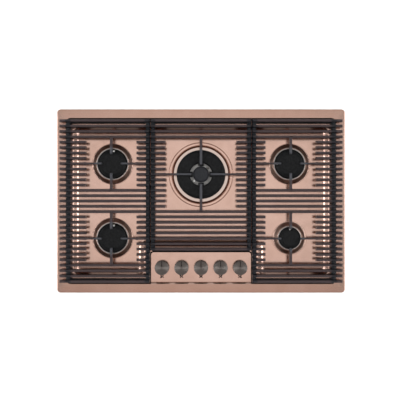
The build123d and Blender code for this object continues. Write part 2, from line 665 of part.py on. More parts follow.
def burner_crown(x, y, kind, turn):
    """Aluminium crown: skirt on the collar, port ring, spigot down into the cup."""
    throat = kind["throat"]
    skirt_z = COLLAR_Z + CROWN_SKIRT
    points = [
        (throat - CROWN_WALL, COLLAR_Z - CROWN_SPIGOT),
        (throat, COLLAR_Z - CROWN_SPIGOT),
        (throat, COLLAR_Z),
        (kind["skirt"], COLLAR_Z),
        (kind["skirt"], COLLAR_Z + CROWN_LIP),
        (kind["port"], skirt_z),
        (kind["port"], CAP_SEAT_Z),
        (kind["port_in"], CAP_SEAT_Z),
        (kind["port_in"], skirt_z),
        (throat - CROWN_WALL, skirt_z),
    ]
    crown = turned(points, x, y)
    ring_mid = (kind["port"] + kind["port_in"]) / 2
    ring_width = kind["port"] - kind["port_in"]
    offset = 180.0 / kind["ports"]
    crown -= flame_slots(x, y, CAP_SEAT_Z, ring_mid, ring_width + CROWN_WALL, kind["ports"], offset)
    for px, py in probe_places(x, y, kind["probe"], turn):
        crown -= rod(px, py, COLLAR_Z, CAP_SEAT_Z, CERAMIC_R + PROBE_CROWN_PLAY)
    for px, py in screw_places(x, y, cup_hole_r(kind), turn + SCREW_TURN):
        crown -= rod(px, py, COLLAR_Z, COLLAR_Z + SCREW_POCKET_H, SCREW_POCKET_R)
    return crown


def burner_cap(x, y, kind, turn):
    """Enamelled cap: bevelled disc with a locating ring and a notch for the electrode."""
    ring_out = kind["port_in"] - CAP_PLAY
    rim_z = CAP_SEAT_Z + CAP_RIM
    points = [
        (0, CAP_SEAT_Z),
        (ring_out - CAP_RING_WALL, CAP_SEAT_Z),
        (ring_out - CAP_RING_WALL, CAP_SEAT_Z - CAP_RING_H),
        (ring_out, CAP_SEAT_Z - CAP_RING_H),
        (ring_out, CAP_SEAT_Z),
        (kind["cap"], CAP_SEAT_Z),
        (kind["cap"], rim_z),
        (kind["flat"], CAP_SEAT_Z + CAP_HEIGHT),
        (0, CAP_SEAT_Z + CAP_HEIGHT),
    ]
    cap = turned(points, x, y)
    top = cap.edges().filter_by(GeomType.CIRCLE).group_by(Axis.Z)[-1]
    cap = fillet(top, CAP_RIM)
    notch_r = CERAMIC_R + PROBE_CROWN_PLAY
    px, py = polar(x, y, kind["probe"], turn)
    notch = rod(px, py, CAP_SEAT_Z, CAP_SEAT_Z + CAP_HEIGHT, notch_r)
    slot = Pos(px, py, CAP_SEAT_Z + CAP_HEIGHT / 2) * Rot(0, 0, turn) * Pos(kind["cap"] / 2, 0, 0)
    notch += slot * Box(kind["cap"], 2 * notch_r, CAP_HEIGHT)
    return cap - notch


# ---- Middle burner ---------------------------------------------------------
def centre_cup():
    x, y = 0.0, CENTRE_Y
    bore = TRIPLE_THROAT_R + THROAT_PLAY
    body_r = bore + CUP_WALL
    under = PLATFORM_Z - PLATE_SHEET
    floor = CUP_BOTTOM_Z + CUP_FLOOR
    tube_top = PLATFORM_Z - TRIPLE_BASE
    cup = rod(x, y, CUP_BOTTOM_Z, under, body_r) + rod(x, y, under - CUP_FLANGE, under, TRIPLE_FLANGE_R)
    cup += rod(x, y, under - CUP_FLANGE, PLATFORM_Z, bore + CUP_SPIGOT)
    boss_mid, channel_mid = inlet_boss(x, y, body_r, TOWARD_FRONT)
    side_length = math.sqrt(body_r ** 2 - TRIPLE_INJECTOR_X ** 2)
    boss_side, channel_side = inlet_boss(x + TRIPLE_INJECTOR_X, y, side_length, TOWARD_FRONT)
    cup += boss_mid + boss_side
    cup -= rod(x, y, floor, PLATFORM_Z, bore)
    cup += tube(x, y, floor, tube_top, PILOT_TUBE_R, PILOT_TUBE_R - PILOT_TUBE_WALL)
    for px, py in centre_probes():
        cup += rod(px, py, floor, PLATFORM_Z, CERAMIC_R + PROBE_PLAY + SLEEVE_WALL)
        cup -= rod(px, py, CUP_BOTTOM_Z, PLATFORM_Z, CERAMIC_R + PROBE_PLAY)
    cup -= channel_mid + channel_side
    for injector_x in (x, x + TRIPLE_INJECTOR_X):
        cup -= rod(injector_x, y, PIPE_Z, floor, INJECTOR_SHANK_R + THREAD_PLAY)
    for px, py in screw_places(x, y, centre_hole_r(), SCREW_TURN):
        cup -= rod(px, py, PLATFORM_Z - SCREW_LENGTH - SCREW_END_GAP, PLATFORM_Z, SCREW_R + THREAD_PLAY)
    return cup


def centre_crown():
    """Crown with three rings of ports on one base plate."""
    x, y = 0.0, CENTRE_Y
    base_z = PLATFORM_Z + TRIPLE_BASE
    ring_z = PLATFORM_Z + TRIPLE_RING_TOP
    pilot_z = PLATFORM_Z + PILOT_RING_TOP
    low_z = PLATFORM_Z - CROWN_SPIGOT
    tube_r = PILOT_TUBE_R - PILOT_TUBE_WALL
    outer_in = TRIPLE_OUTER_RING_R - TRIPLE_OUTER_RING_WALL
    inner_out = TRIPLE_INNER_RING_R + TRIPLE_INNER_RING_WALL
    crown = tube(x, y, PLATFORM_Z, base_z, TRIPLE_SKIRT_R, tube_r)
    crown += tube(x, y, low_z, PLATFORM_Z, TRIPLE_THROAT_R, TRIPLE_THROAT_R - CROWN_WALL)
    sleeve_in = PILOT_TUBE_R + THROAT_PLAY
    crown += tube(x, y, low_z, PLATFORM_Z, sleeve_in + CROWN_WALL, sleeve_in)
    crown += tube(x, y, base_z, ring_z, TRIPLE_OUTER_RING_R, outer_in)
    crown += tube(x, y, base_z, ring_z, inner_out, TRIPLE_INNER_RING_R)
    crown += tube(x, y, base_z, pilot_z, PILOT_RING_R, PILOT_RING_R - PILOT_RING_WALL)
    outer_mid = TRIPLE_OUTER_RING_R - TRIPLE_OUTER_RING_WALL / 2
    inner_mid = TRIPLE_INNER_RING_R + TRIPLE_INNER_RING_WALL / 2
    pilot_mid = PILOT_RING_R - PILOT_RING_WALL / 2
    rings = [
        (ring_z, outer_mid, TRIPLE_OUTER_RING_WALL, TRIPLE_PORTS_OUTER),
        (ring_z, inner_mid, TRIPLE_INNER_RING_WALL, TRIPLE_PORTS_INNER),
        (pilot_z, pilot_mid, PILOT_RING_WALL, TRIPLE_PORTS_INNER),
    ]
    for top_z, mid_r, wall, ports in rings:
        crown -= flame_slots(x, y, top_z, mid_r, wall * PORT_OVERCUT, ports)
    feed_r = (inner_out + TRIPLE_THROAT_R - CROWN_WALL) / 2
    feed = Pos(x, y, (PLATFORM_Z + base_z) / 2)
    for spot in PolarLocations(feed_r, TRIPLE_FEED_HOLES):
        crown -= feed * spot * Cylinder(TRIPLE_FEED_HOLE_R, TRIPLE_BASE)
    for px, py in centre_probes():
        crown -= rod(px, py, low_z, base_z, CERAMIC_R + PROBE_CROWN_PLAY)
    for px, py in screw_places(x, y, centre_hole_r(), SCREW_TURN):
        crown -= rod(px, py, PLATFORM_Z, PLATFORM_Z + SCREW_POCKET_H, SCREW_POCKET_R)
    return crown


def centre_cap_outer():
    """Ring cap with a bevelled rim, a locating ring and four tabs over the opening."""
    x, y = 0.0, CENTRE_Y
    seat = PLATFORM_Z + TRIPLE_RING_TOP
    top = seat + TRIPLE_CAP_H
    ring_in = TRIPLE_INNER_RING_R + TRIPLE_INNER_RING_WALL + CAP_PLAY
    points = [
        (TRIPLE_OPENING_R, seat),
        (ring_in, seat),
        (ring_in, seat - CAP_RING_H),
        (ring_in + CAP_RING_WALL, seat - CAP_RING_H),
        (ring_in + CAP_RING_WALL, seat),
        (TRIPLE_CAP_R, seat),
        (TRIPLE_CAP_R, seat + CAP_RIM),
        (TRIPLE_FLAT_R, top),
        (TRIPLE_INNER_FLAT_R, top),
        (TRIPLE_OPENING_R, seat + CAP_RIM),
    ]
    cap = turned(points, x, y)
    cap = fillet(cap.edges().filter_by(GeomType.CIRCLE).group_by(Axis.Z)[-1], CAP_RIM)
    tab_length = TRIPLE_INNER_FLAT_R - TRIPLE_TAB_R
    tab_height = TRIPLE_CAP_H - TRIPLE_TAB_DROP
    tab = Box(tab_length, TRIPLE_TAB_WIDTH, tab_height)
    tab_place = Pos(x, y, seat + tab_height / 2)
    for spot in PolarLocations(TRIPLE_TAB_R + tab_length / 2, 4):
        cap += tab_place * spot * tab
    return cap


def centre_cap_inner():
    x, y = 0.0, CENTRE_Y
    seat = PLATFORM_Z + PILOT_RING_TOP
    ring_out = PILOT_RING_R - PILOT_RING_WALL - CAP_PLAY
    points = [
        (0, seat),
        (ring_out - CAP_RING_WALL, seat),
        (ring_out - CAP_RING_WALL, seat - CAP_RING_H),
        (ring_out, seat - CAP_RING_H),
        (ring_out, seat),
        (PILOT_CAP_R, seat),
        (PILOT_CAP_R, seat + CAP_RIM),
        (PILOT_FLAT_R, seat + PILOT_CAP_H),
        (0, seat + PILOT_CAP_H),
    ]
    cap = turned(points, x, y)
    return fillet(cap.edges().filter_by(GeomType.CIRCLE).group_by(Axis.Z)[-1], CAP_RIM)


# ---- Injectors and probes --------------------------------------------------
def injector(x, y):
    floor = CUP_BOTTOM_Z + CUP_FLOOR
    shank = rod(x, y, floor - INJECTOR_SHANK_H, floor, INJECTOR_SHANK_R)
    head = Pos(x, y, floor) * hexagon(INJECTOR_HEX_R, INJECTOR_HEX_H)
    bore = rod(x, y, floor - INJECTOR_SHANK_H, floor + INJECTOR_HEX_H, INJECTOR_JET_R)
    return shank + head - bore


def injectors():
    places = [(x, y) for _, x, y, _, _ in SIDE_BURNERS]
    places += [(0.0, CENTRE_Y), (TRIPLE_INJECTOR_X, CENTRE_Y)]
    return merged([injector(x, y) for x, y in places])


def probe_stations():
    """Electrode place, sensor place, underside that their shoulders meet, and cap seat."""
    stations = []
    for _, x, y, kind, turn in SIDE_BURNERS:
        electrode, sensor = probe_places(x, y, kind["probe"], turn)
        stations.append((electrode, sensor, COLLAR_Z - PLATE_SHEET - CUP_FLANGE, CAP_SEAT_Z))
    electrode, sensor = centre_probes()
    stations.append((electrode, sensor, CUP_BOTTOM_Z, PLATFORM_Z + TRIPLE_RING_TOP))
    return stations


def electrode(place, under, seat):
    x, y = place
    shoulder = rod(x, y, under - CERAMIC_SHOULDER_H, under, CERAMIC_SHOULDER_R)
    return shoulder + rod(x, y, under, seat + CERAMIC_ABOVE_CAP_SEAT, CERAMIC_R)


def electrode_tip(place, seat):
    x, y = place
    z = seat + CERAMIC_ABOVE_CAP_SEAT
    return rod(x, y, z, z + TIP_LENGTH, TIP_R)


def flame_sensor(place, under, seat):
    x, y = place
    shoulder = rod(x, y, under - CERAMIC_SHOULDER_H, under, CERAMIC_SHOULDER_R)
    stem = rod(x, y, under, seat - CAP_RIM, SENSOR_R)
    return shoulder + stem


# ---- Taps and knobs --------------------------------------------------------
def tap_body(x, outlet_side):
    """Square brass body on the casing's floor, its flange against the manifold."""
    half = TAP_SIZE / 2
    body = block(x - half, x + half, KNOB_Y - half, KNOB_Y + half, TRAY_SHEET, TAP_TOP_Z)
    body = fillet(body.edges().filter_by(Axis.Z), TAP_CORNER_R)
    bottom, top = MANIFOLD_BOTTOM_Z, MANIFOLD_BOTTOM_Z + MANIFOLD_SIZE
    body += block(x - half + TAP_CORNER_R, x + half - TAP_CORNER_R, KNOB_Y, MANIFOLD_Y, bottom, top)
    body -= rod(x, KNOB_Y, PLUG_BOTTOM_Z, TAP_TOP_Z, PLUG_R + PLUG_PLAY)
    middle = (bottom + top) / 2
    body -= Pos(x, (KNOB_Y + MANIFOLD_Y) / 2, middle) * Rot(90, 0, 0) * Cylinder(
        PIPE_R - PIPE_WALL, MANIFOLD_Y - KNOB_Y
    )
    outlet_r = PIPE_R - PIPE_WALL
    body -= rod(x, KNOB_Y, PIPE_Z, PLUG_BOTTOM_Z, outlet_r)
    body -= Pos(x, KNOB_Y + half / 2, PIPE_Z) * Rot(90, 0, 0) * Cylinder(outlet_r, half)
    if outlet_side:
        body -= Pos(x + half / 2, KNOB_Y, PIPE_Z) * Rot(0, 90, 0) * Cylinder(outlet_r, half)
    return body


def tap_cover(x):
    half = TAP_SIZE / 2
    cover = block(x - half, x + half, KNOB_Y - half, KNOB_Y + half, TAP_TOP_Z, TAP_TOP_Z + TAP_COVER)
    cover = fillet(cover.edges().filter_by(Axis.Z), TAP_CORNER_R)
    return cover - rod(x, KNOB_Y, TAP_TOP_Z, TAP_TOP_Z + TAP_COVER, SPINDLE_R + SPINDLE_PLAY)


def spindle_section(r):
    """Round section with one flat, for the spindle and for what it drives."""
    flat = SPINDLE_FLAT + (r - SPINDLE_R)
    return Circle(r) - Pos(0, r + flat) * Rectangle(2 * r, 2 * r)


def d_rod(x, z0, z1, r):
    return Pos(x, KNOB_Y, z0) * extrude(spindle_section(r), z1 - z0)


def tap_plug(x):
    """Brass plug with a socket that lets the spindle slide down."""
    top = TAP_TOP_Z - PLUG_TOP_GAP
    plug = rod(x, KNOB_Y, PLUG_BOTTOM_Z + PLUG_PLAY, top, PLUG_R)
    plug -= d_rod(x, top - PLUG_SOCKET, top, SPINDLE_R + SPINDLE_PLAY)
    port_z = MANIFOLD_BOTTOM_Z + MANIFOLD_SIZE / 2 - PLUG_PORT_DROP
    return plug - Pos(x, KNOB_Y + PLUG_R / 2, port_z) * Rot(90, 0, 0) * Cylinder(PLUG_PORT_R, PLUG_R)


def spindle(x):
    low = TAP_TOP_Z - PLUG_TOP_GAP - PLUG_SOCKET + KNOB_TRAVEL + PLUG_TOP_GAP
    high = KNOB_Z + KNOB_HUB_LIFT + SPINDLE_IN_KNOB
    return d_rod(x, low, high, SPINDLE_R)


def knob(x):
    """Turned knob: hollow skirt, solid face with a pointer groove, hub on the spindle."""
    top = KNOB_Z + KNOB_HEIGHT
    under = top - KNOB_FACE
    points = [
        (0, under),
        (KNOB_R - KNOB_WALL - KNOB_GRIP, under),
        (KNOB_R - KNOB_WALL, KNOB_Z),
        (KNOB_R, KNOB_Z),
        (KNOB_R, top),
        (0, top),
    ]
    body = turned(points, x, KNOB_Y)
    body = fillet(body.edges().filter_by(GeomType.CIRCLE).group_by(Axis.Z)[-1], KNOB_EDGE_R)
    hub_z = KNOB_Z + KNOB_HUB_LIFT
    body += rod(x, KNOB_Y, hub_z, under, KNOB_HUB_R)
    body -= d_rod(x, hub_z, hub_z + SPINDLE_IN_KNOB, SPINDLE_R + SPINDLE_PLAY)
    groove = Pos(x, KNOB_Y + KNOB_R / 2, top) * Box(KNOB_LINE_WIDTH, KNOB_R, 2 * KNOB_LINE_DEPTH)
    return body - groove


def knob_seal(x):
    inner = SPINDLE_R + SEAL_RING_PLAY
    return tube(x, KNOB_Y, PANEL_Z, PANEL_Z + SEAL_RING_H, SEAL_RING_R, inner)


def ignition_switch(x):
    width, depth, height = SWITCH
    front = KNOB_Y - TAP_SIZE / 2
    return block(x - width / 2, x + width / 2, front - depth, front, SWITCH_Z, SWITCH_Z + height)


# ---- Gas pipes -------------------------------------------------------------
def gas_manifold():
    """Square tube behind the taps, plugged at its left end."""
    half = 2 * KNOB_PITCH + MANIFOLD_OVERHANG
    y0, y1 = MANIFOLD_Y, MANIFOLD_Y + MANIFOLD_SIZE
    z0, z1 = MANIFOLD_BOTTOM_Z, MANIFOLD_BOTTOM_Z + MANIFOLD_SIZE
    wall = MANIFOLD_WALL
    manifold = block(-half, half, y0, y1, z0, z1)
    manifold -= block(-half + wall, half - wall, y0 + wall, y1 - wall, z0 + wall, z1 - wall)
    y, z = (y0 + y1) / 2, (z0 + z1) / 2
    manifold -= Pos(half, y, z) * Rot(0, 90, 0) * Cylinder(SUPPLY_R - PIPE_WALL, DRILL)
    for _, x in KNOBS:
        manifold -= Pos(x, y0, z) * Rot(90, 0, 0) * Cylinder(PIPE_R - PIPE_WALL, DRILL)
    return manifold


def pipe_along(points, radius, r_out, r_in=0.0):
    """Round pipe or lead along straight runs joined by arcs."""
    path = FilletPolyline(*points, radius=radius) if len(points) > 2 else Line(*points)
    section = Plane(origin=path @ 0, z_dir=path % 0) * Circle(r_out)
    if r_in:
        section -= Plane(origin=path @ 0, z_dir=path % 0) * Circle(r_in)
    return sweep(section, path=path)


def union_nut(x, y, direction):
    """Hexagon nut round a pipe's end, with its face at x, y."""
    nut = hexagon(NUT_R, NUT_LENGTH)
    nut -= Pos(0, 0, NUT_LENGTH / 2) * Cylinder(PIPE_R + THREAD_PLAY, NUT_LENGTH)
    return Pos(x, y, PIPE_Z) * Rot(0, 0, direction) * Rot(0, 90, 0) * nut


def feed_pipe(points, start_direction, end_direction):
    """Pipe at one height with a union nut at each end, each facing along the pipe."""
    spots = [(x, y, PIPE_Z) for x, y in points]
    pipe = pipe_along(spots, PIPE_BEND_R, PIPE_R, PIPE_R - PIPE_WALL)
    first, last = points[0], points[-1]
    return [pipe, union_nut(*first, start_direction), union_nut(*last, end_direction)]


def boss_end(kind):
    return kind["throat"] + THROAT_PLAY + CUP_WALL + BOSS_LENGTH


def pipe_front(side, kind):
    """From an outer tap straight back, then out to the front burner."""
    x, y = side * BURNER_X, -BURNER_ROW * ROW_PITCH
    tap_x = side * 2 * KNOB_PITCH
    end_x = x - side * boss_end(kind)
    points = [(tap_x, TAP_BACK_Y), (tap_x, y), (end_x, y)]
    return merged(feed_pipe(points, 90, 180 if side > 0 else 0))


def pipe_rear(side, kind):
    """From an inner tap back, out in front of the middle burner, then to the rear burner."""
    x, y = side * BURNER_X, BURNER_ROW * ROW_PITCH
    tap_x = side * KNOB_PITCH
    end_y = y - boss_end(kind)
    points = [(tap_x, TAP_BACK_Y), (tap_x, CROSS_PIPE_Y), (x, CROSS_PIPE_Y), (x, end_y)]
    return merged(feed_pipe(points, 90, -90))


def pipe_centre():
    """Two pipes from the middle tap: one to the inner, one to the outer injector."""
    body_r = TRIPLE_THROAT_R + THROAT_PLAY + CUP_WALL
    end_y = CENTRE_Y - body_r - BOSS_LENGTH
    side_y = CENTRE_Y - math.sqrt(body_r ** 2 - TRIPLE_INJECTOR_X ** 2) - BOSS_LENGTH
    inner = feed_pipe([(0, TAP_BACK_Y), (0, end_y)], 90, -90)
    start_x = TAP_SIZE / 2
    bend = TRIPLE_INJECTOR_X - start_x - NUT_LENGTH
    end_x = TRIPLE_INJECTOR_X
    spots = [(start_x, KNOB_Y, PIPE_Z), (end_x, KNOB_Y, PIPE_Z), (end_x, side_y, PIPE_Z)]
    outer = [
        pipe_along(spots, bend, PIPE_R, PIPE_R - PIPE_WALL),
        union_nut(start_x, KNOB_Y, 0),
        union_nut(end_x, side_y, -90),
    ]
    return merged(inner + outer)


def supply_z():
    return MANIFOLD_BOTTOM_Z + MANIFOLD_SIZE / 2


def supply_pipe():
    """From the manifold's right end round to the inlet at the back."""
    half = 2 * KNOB_PITCH + MANIFOLD_OVERHANG
    y = MANIFOLD_Y + MANIFOLD_SIZE / 2
    end_y = INLET_Y - INLET_BODY / 2
    points = [(half, y, supply_z()), (SUPPLY_X, y, supply_z()), (SUPPLY_X, end_y, supply_z())]
    return pipe_along(points, SUPPLY_BEND_R, SUPPLY_R, SUPPLY_R - PIPE_WALL)


def inlet_elbow():
    """Brass elbow on the pocket's roof; its threaded end points down into the pocket."""
    roof = POCKET_HEIGHT + TRAY_SHEET
    half = INLET_BODY / 2
    x, y, z_mid = SUPPLY_X, INLET_Y, supply_z()
    elbow = block(x - half, x + half, y - half, y + half, roof, roof + INLET_BODY_H)
    elbow = fillet(elbow.edges().filter_by(Axis.Z), TAP_CORNER_R)
    thread_top = INLET_END_Z + INLET_THREAD_LENGTH
    elbow += rod(x, y, INLET_END_Z, thread_top, INLET_THREAD_R) + rod(x, y, thread_top, roof, INLET_NECK_R)
    elbow -= rod(x, y, INLET_END_Z, z_mid, INLET_BORE_R)
    elbow -= Pos(x, y - half / 2, z_mid) * Rot(90, 0, 0) * Cylinder(SUPPLY_R - PIPE_WALL, half)
    return elbow


def inlet_locknut():
    top = POCKET_HEIGHT
    nut = Pos(SUPPLY_X, INLET_Y, top - LOCKNUT_H) * hexagon(LOCKNUT_R, LOCKNUT_H)
    return nut - rod(SUPPLY_X, INLET_Y, top - LOCKNUT_H, top, INLET_NECK_R + THREAD_PLAY)


# ---- Ignition --------------------------------------------------------------
def ignition_module():
    width, depth, height = MODULE
    x0, y0 = MODULE_X - width / 2, MODULE_Y - depth / 2
    box = block(x0, x0 + width, y0, y0 + depth, TRAY_SHEET, TRAY_SHEET + height)
    return fillet(box.edges().filter_by(Axis.Z), TAP_CORNER_R)


def ignition_leads():
    """One lead from the module to the foot of each electrode, along the casing's floor."""
    width, depth, _ = MODULE
    z = TRAY_SHEET + LEAD_R
    right = MODULE_X + width / 2
    front = MODULE_Y - depth / 2
    (rl, rl_z), (rr, rr_z), (fl, fl_z), (fr, fr_z), (ce, _) = [(s[0], s[2]) for s in probe_stations()]
    row = [front + LEAD_PITCH * n for n in (1, 2, 3, 4)]
    drop = CERAMIC_SHOULDER_H
    turn_fr, turn_rr = LEAD_FRONT_RIGHT_X, LEAD_REAR_RIGHT_X
    ce_end = ce[1] + CERAMIC_SHOULDER_R
    routes = [
        [(right, row[0], z), (rl[0], row[0], z), (rl[0], rl[1], z), (rl[0], rl[1], rl_z - drop)],
        [(right, row[1], z), (ce[0], row[1], z), (ce[0], ce_end, z)],
        [(right, row[2], z), (turn_fr, row[2], z), (turn_fr, fr[1], z), (*fr, z), (*fr, fr_z - drop)],
        [(right, row[3], z), (turn_rr, row[3], z), (turn_rr, rr[1], z), (*rr, z), (*rr, rr_z - drop)],
        [(MODULE_X, front, z), (MODULE_X, fl[1], z), (*fl, z), (*fl, fl_z - drop)],
    ]
    return merged([pipe_along(points, LEAD_BEND_R, LEAD_R) for points in routes])


# ---- Screws ----------------------------------------------------------------
def m4_screws():
    screws = []
    for _, x, y, kind, turn in SIDE_BURNERS:
        for px, py in screw_places(x, y, cup_hole_r(kind), turn + SCREW_TURN):
            screws.append(Pos(px, py, COLLAR_Z) * screw())
    for px, py in screw_places(0, CENTRE_Y, centre_hole_r(), SCREW_TURN):
        screws.append(Pos(px, py, PLATFORM_Z) * screw())
    for x, side in clamp_places():
        face = side * (TRAY_Y + CLAMP_THICKNESS)
        screws.append(Pos(x, face, clamp_screw_z()) * Rot(-90 * side, 0, 0) * screw())
    return merged(screws)


# ---- Write every piece -----------------------------------------------------
os.makedirs("parts", exist_ok=True)

write("hob_plate", hob_plate())
write("base_tray", base_tray())
write("worktop_seal", worktop_seal())
write("fixing_clamps", merged([fixing_clamp(x, side) for x, side in clamp_places()]))
write("cable_gland", cable_gland())
write("m4_screws", m4_screws())

left_grate = grate_side()
left_feet = feet_side()
write("grate_left", left_grate)
write("grate_right", mirror(left_grate, Plane.YZ))
write("grate_centre", grate_centre())
write("feet_left", left_feet)
write("feet_right", mirror(left_feet, Plane.YZ))
write("feet_centre", feet_centre())

for name, x, y, kind, turn in SIDE_BURNERS:
    toward_middle = HALF_TURN if x > 0 else 0.0
    feed = toward_middle if y < 0 else TOWARD_FRONT
    write(f"cup_{name}", burner_cup(x, y, kind, turn, feed))
    write(f"crown_{name}", burner_crown(x, y, kind, turn))
    write(f"cap_{name}", burner_cap(x, y, kind, turn))
write("cup_centre", centre_cup())
write("crown_centre", centre_crown())
write("cap_centre_outer", centre_cap_outer())
write("cap_centre_inner", centre_cap_inner())

write("injectors", injectors())
stations = probe_stations()
write("electrodes", merged([electrode(spark, under, seat) for spark, _, under, seat in stations]))
write("electrode_tips", merged([electrode_tip(spark, seat) for spark, _, _, seat in stations]))
write("thermocouples", merged([flame_sensor(sensor, under, seat) for _, sensor, under, seat in stations]))

for name, x in KNOBS:
    write(f"knob_{name}", knob(x))
    write(f"spindle_{name}", spindle(x))
    write(f"tap_plug_{name}", tap_plug(x))
taps = [tap_body(x, name == "centre") for name, x in KNOBS]
write("tap_bodies", merged(taps + [tap_cover(x) for _, x in KNOBS]))
write("knob_seals", merged([knob_seal(x) for _, x in KNOBS]))
write("ignition_switches", merged([ignition_switch(x) for _, x in KNOBS]))

write("gas_manifold", gas_manifold())
write("feed_pipe_front_left", pipe_front(-1, RAPID))
write("feed_pipe_front_right", pipe_front(1, SEMI))
write("feed_pipe_rear_left", pipe_rear(-1, RAPID))
write("feed_pipe_rear_right", pipe_rear(1, RAPID))
write("feed_pipe_centre", pipe_centre())
write("supply_pipe", supply_pipe())
write("inlet_elbow", merged([inlet_elbow(), inlet_locknut()]))
write("ignition_module", ignition_module())
write("ignition_leads", ignition_leads())
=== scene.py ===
# %% [markdown]
# # A gas cooktop, dressed for its picture
# The CAD model gives every size and place. Blender gives what the eye sees: a
# polished copper-coloured plate, enamelled iron grates, burners and brushed knobs.
# The first lines load the CAD model as a fixed frame, in metres.

# %% Load the frame
import math

import bmesh
import bpy
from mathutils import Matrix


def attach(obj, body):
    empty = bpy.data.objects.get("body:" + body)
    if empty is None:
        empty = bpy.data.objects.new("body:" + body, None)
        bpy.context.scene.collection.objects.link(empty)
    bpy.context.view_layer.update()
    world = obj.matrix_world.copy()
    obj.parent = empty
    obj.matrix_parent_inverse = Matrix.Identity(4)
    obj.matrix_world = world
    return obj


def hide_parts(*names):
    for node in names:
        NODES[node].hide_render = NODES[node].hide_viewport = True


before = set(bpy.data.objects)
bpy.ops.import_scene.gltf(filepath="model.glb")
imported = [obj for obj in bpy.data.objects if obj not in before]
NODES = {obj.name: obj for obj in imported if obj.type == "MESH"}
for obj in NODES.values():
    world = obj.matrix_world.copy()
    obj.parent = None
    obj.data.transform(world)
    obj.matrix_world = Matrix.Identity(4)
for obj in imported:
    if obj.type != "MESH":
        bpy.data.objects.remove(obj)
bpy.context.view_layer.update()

# %% [markdown]
# ## Working as by hand
# A piece starts as a primitive and is shaped in edit mode. These few helpers only
# save typing: one starts a primitive with nothing else selected, one selects parts
# by their place, others move, round and extrude what is selected, and one leaves edit
# mode and names the piece. Sizes are written in millimetres, as on a drawing, and
# turned into metres at the last moment.

# %% Helpers for edit mode
MM = 0.001
SAME_POINT = 0.000002        # points closer than this are one point, in metres


def mm(*lengths):
    """Millimetres to metres."""
    return tuple(length * MM for length in lengths)


def select_all():
    bpy.ops.mesh.select_all(action="SELECT")


def start(kind, **how):
    """Adds a primitive, alone in the selection, and opens it in edit mode."""
    bpy.ops.object.select_all(action="DESELECT")
    getattr(bpy.ops.mesh, "primitive_" + kind + "_add")(**how)
    bpy.ops.object.mode_set(mode="EDIT")
    select_all()
    return bpy.context.object


def pick(piece, parts, test):
    """Selects only the "verts", "edges" or "faces" that pass the test."""
    mode = {"verts": "VERT", "edges": "EDGE", "faces": "FACE"}[parts]
    bpy.ops.mesh.select_mode(type=mode)
    bpy.ops.mesh.select_all(action="DESELECT")
    mesh = bmesh.from_edit_mesh(piece.data)
    for part in getattr(mesh, parts):
        if test(part):
            part.select_set(True)
    bmesh.update_edit_mesh(piece.data)


# %% Where a part lies
def lowest(part):
    """Height of the lowest point of an edge or a face."""
    return min(v.co.z for v in part.verts) / MM


def highest(part):
    return max(v.co.z for v in part.verts) / MM


def lies_at(part, z):
    """True where all of the part lies at that height."""
    return all(abs(v.co.z - z * MM) < SAME_POINT for v in part.verts)


def sharp(edge, angle=1.0):
    """True where the faces on the edge meet at more than that angle, in radians."""
    return edge.calc_face_angle(0) > angle


# %% Move, turn and round what is selected
def move(x, y, z):
    """Moves what is selected."""
    bpy.ops.transform.translate(value=mm(x, y, z))


def swing(degrees, x=0, y=0):
    """Turns the selected object round the upright axis at (x, y). A positive angle turns
    it clockwise, because the operator has no window to read its direction from."""
    bpy.ops.transform.rotate(value=math.radians(degrees), orient_axis="Z", center_override=mm(x, y, 0))


def settle():
    """Puts the object's place and turn into its mesh."""
    bpy.ops.object.transform_apply(location=True, rotation=True, scale=True)


def soften(width, segments, affect="EDGES"):
    """Rounds the selected edges, or the corners at the selected points."""
    bpy.ops.mesh.bevel(offset=width * MM, segments=segments, affect=affect)


def extrude_up(height):
    """Pulls the selected faces up and leaves walls under them."""
    bpy.ops.mesh.extrude_region_move(TRANSFORM_OT_translate={"value": mm(0, 0, height)})


# %% Stretched primitives
def block(size, middle):
    """A cube stretched to three sizes, with its middle at that point."""
    piece = start("cube", size=1)
    bpy.ops.transform.resize(value=mm(*size))
    move(*middle)
    return piece


def rectangle(size_x, size_y, middle):
    """A flat square stretched to two sizes, with its middle at that point."""
    piece = start("plane", size=1)
    bpy.ops.transform.resize(value=mm(size_x, size_y, 1))
    move(*middle)
    return piece


# %% Close a piece, join pieces, apply modifiers
def close_up(piece, name):
    """Merges doubles, points all faces outwards, and leaves edit mode."""
    bpy.ops.mesh.select_mode(type="VERT")
    select_all()
    bpy.ops.mesh.remove_doubles(threshold=SAME_POINT)
    bpy.ops.mesh.normals_make_consistent(inside=False)
    bpy.ops.object.mode_set(mode="OBJECT")
    piece.name = name
    piece.data.name = name
    return piece


def choose(*pieces):
    """Selects these objects, the first one active."""
    bpy.ops.object.select_all(action="DESELECT")
    for piece in pieces:
        piece.select_set(True)
    bpy.context.view_layer.objects.active = pieces[0]


def join(name, pieces):
    choose(*pieces)
    bpy.ops.object.join()
    bpy.context.object.name = name
    bpy.context.object.data.name = name
    return bpy.context.object


def modify(piece, kind, **settings):
    """Adds a modifier and applies it."""
    choose(piece)
    bpy.ops.object.modifier_add(type=kind)
    modifier = piece.modifiers[-1]
    for key, value in settings.items():
        setattr(modifier, key, value)
    bpy.ops.object.modifier_apply(modifier=modifier.name)
    return piece


def carve(piece, cutter):
    """Takes the cutter out of the piece."""
    modify(piece, "BOOLEAN", object=cutter, operation="DIFFERENCE", solver="EXACT")
    bpy.data.objects.remove(cutter)
    return piece


def smooth(piece, degrees=35.0):
    """Smooth shading up to that angle; flat faces keep their own true normal."""
    choose(piece)
    bpy.ops.object.shade_smooth_by_angle(angle=math.radians(degrees), keep_sharp_edges=True)
    modify(piece, "WEIGHTED_NORMAL", mode="FACE_AREA", weight=100, keep_sharp=True)
    return piece


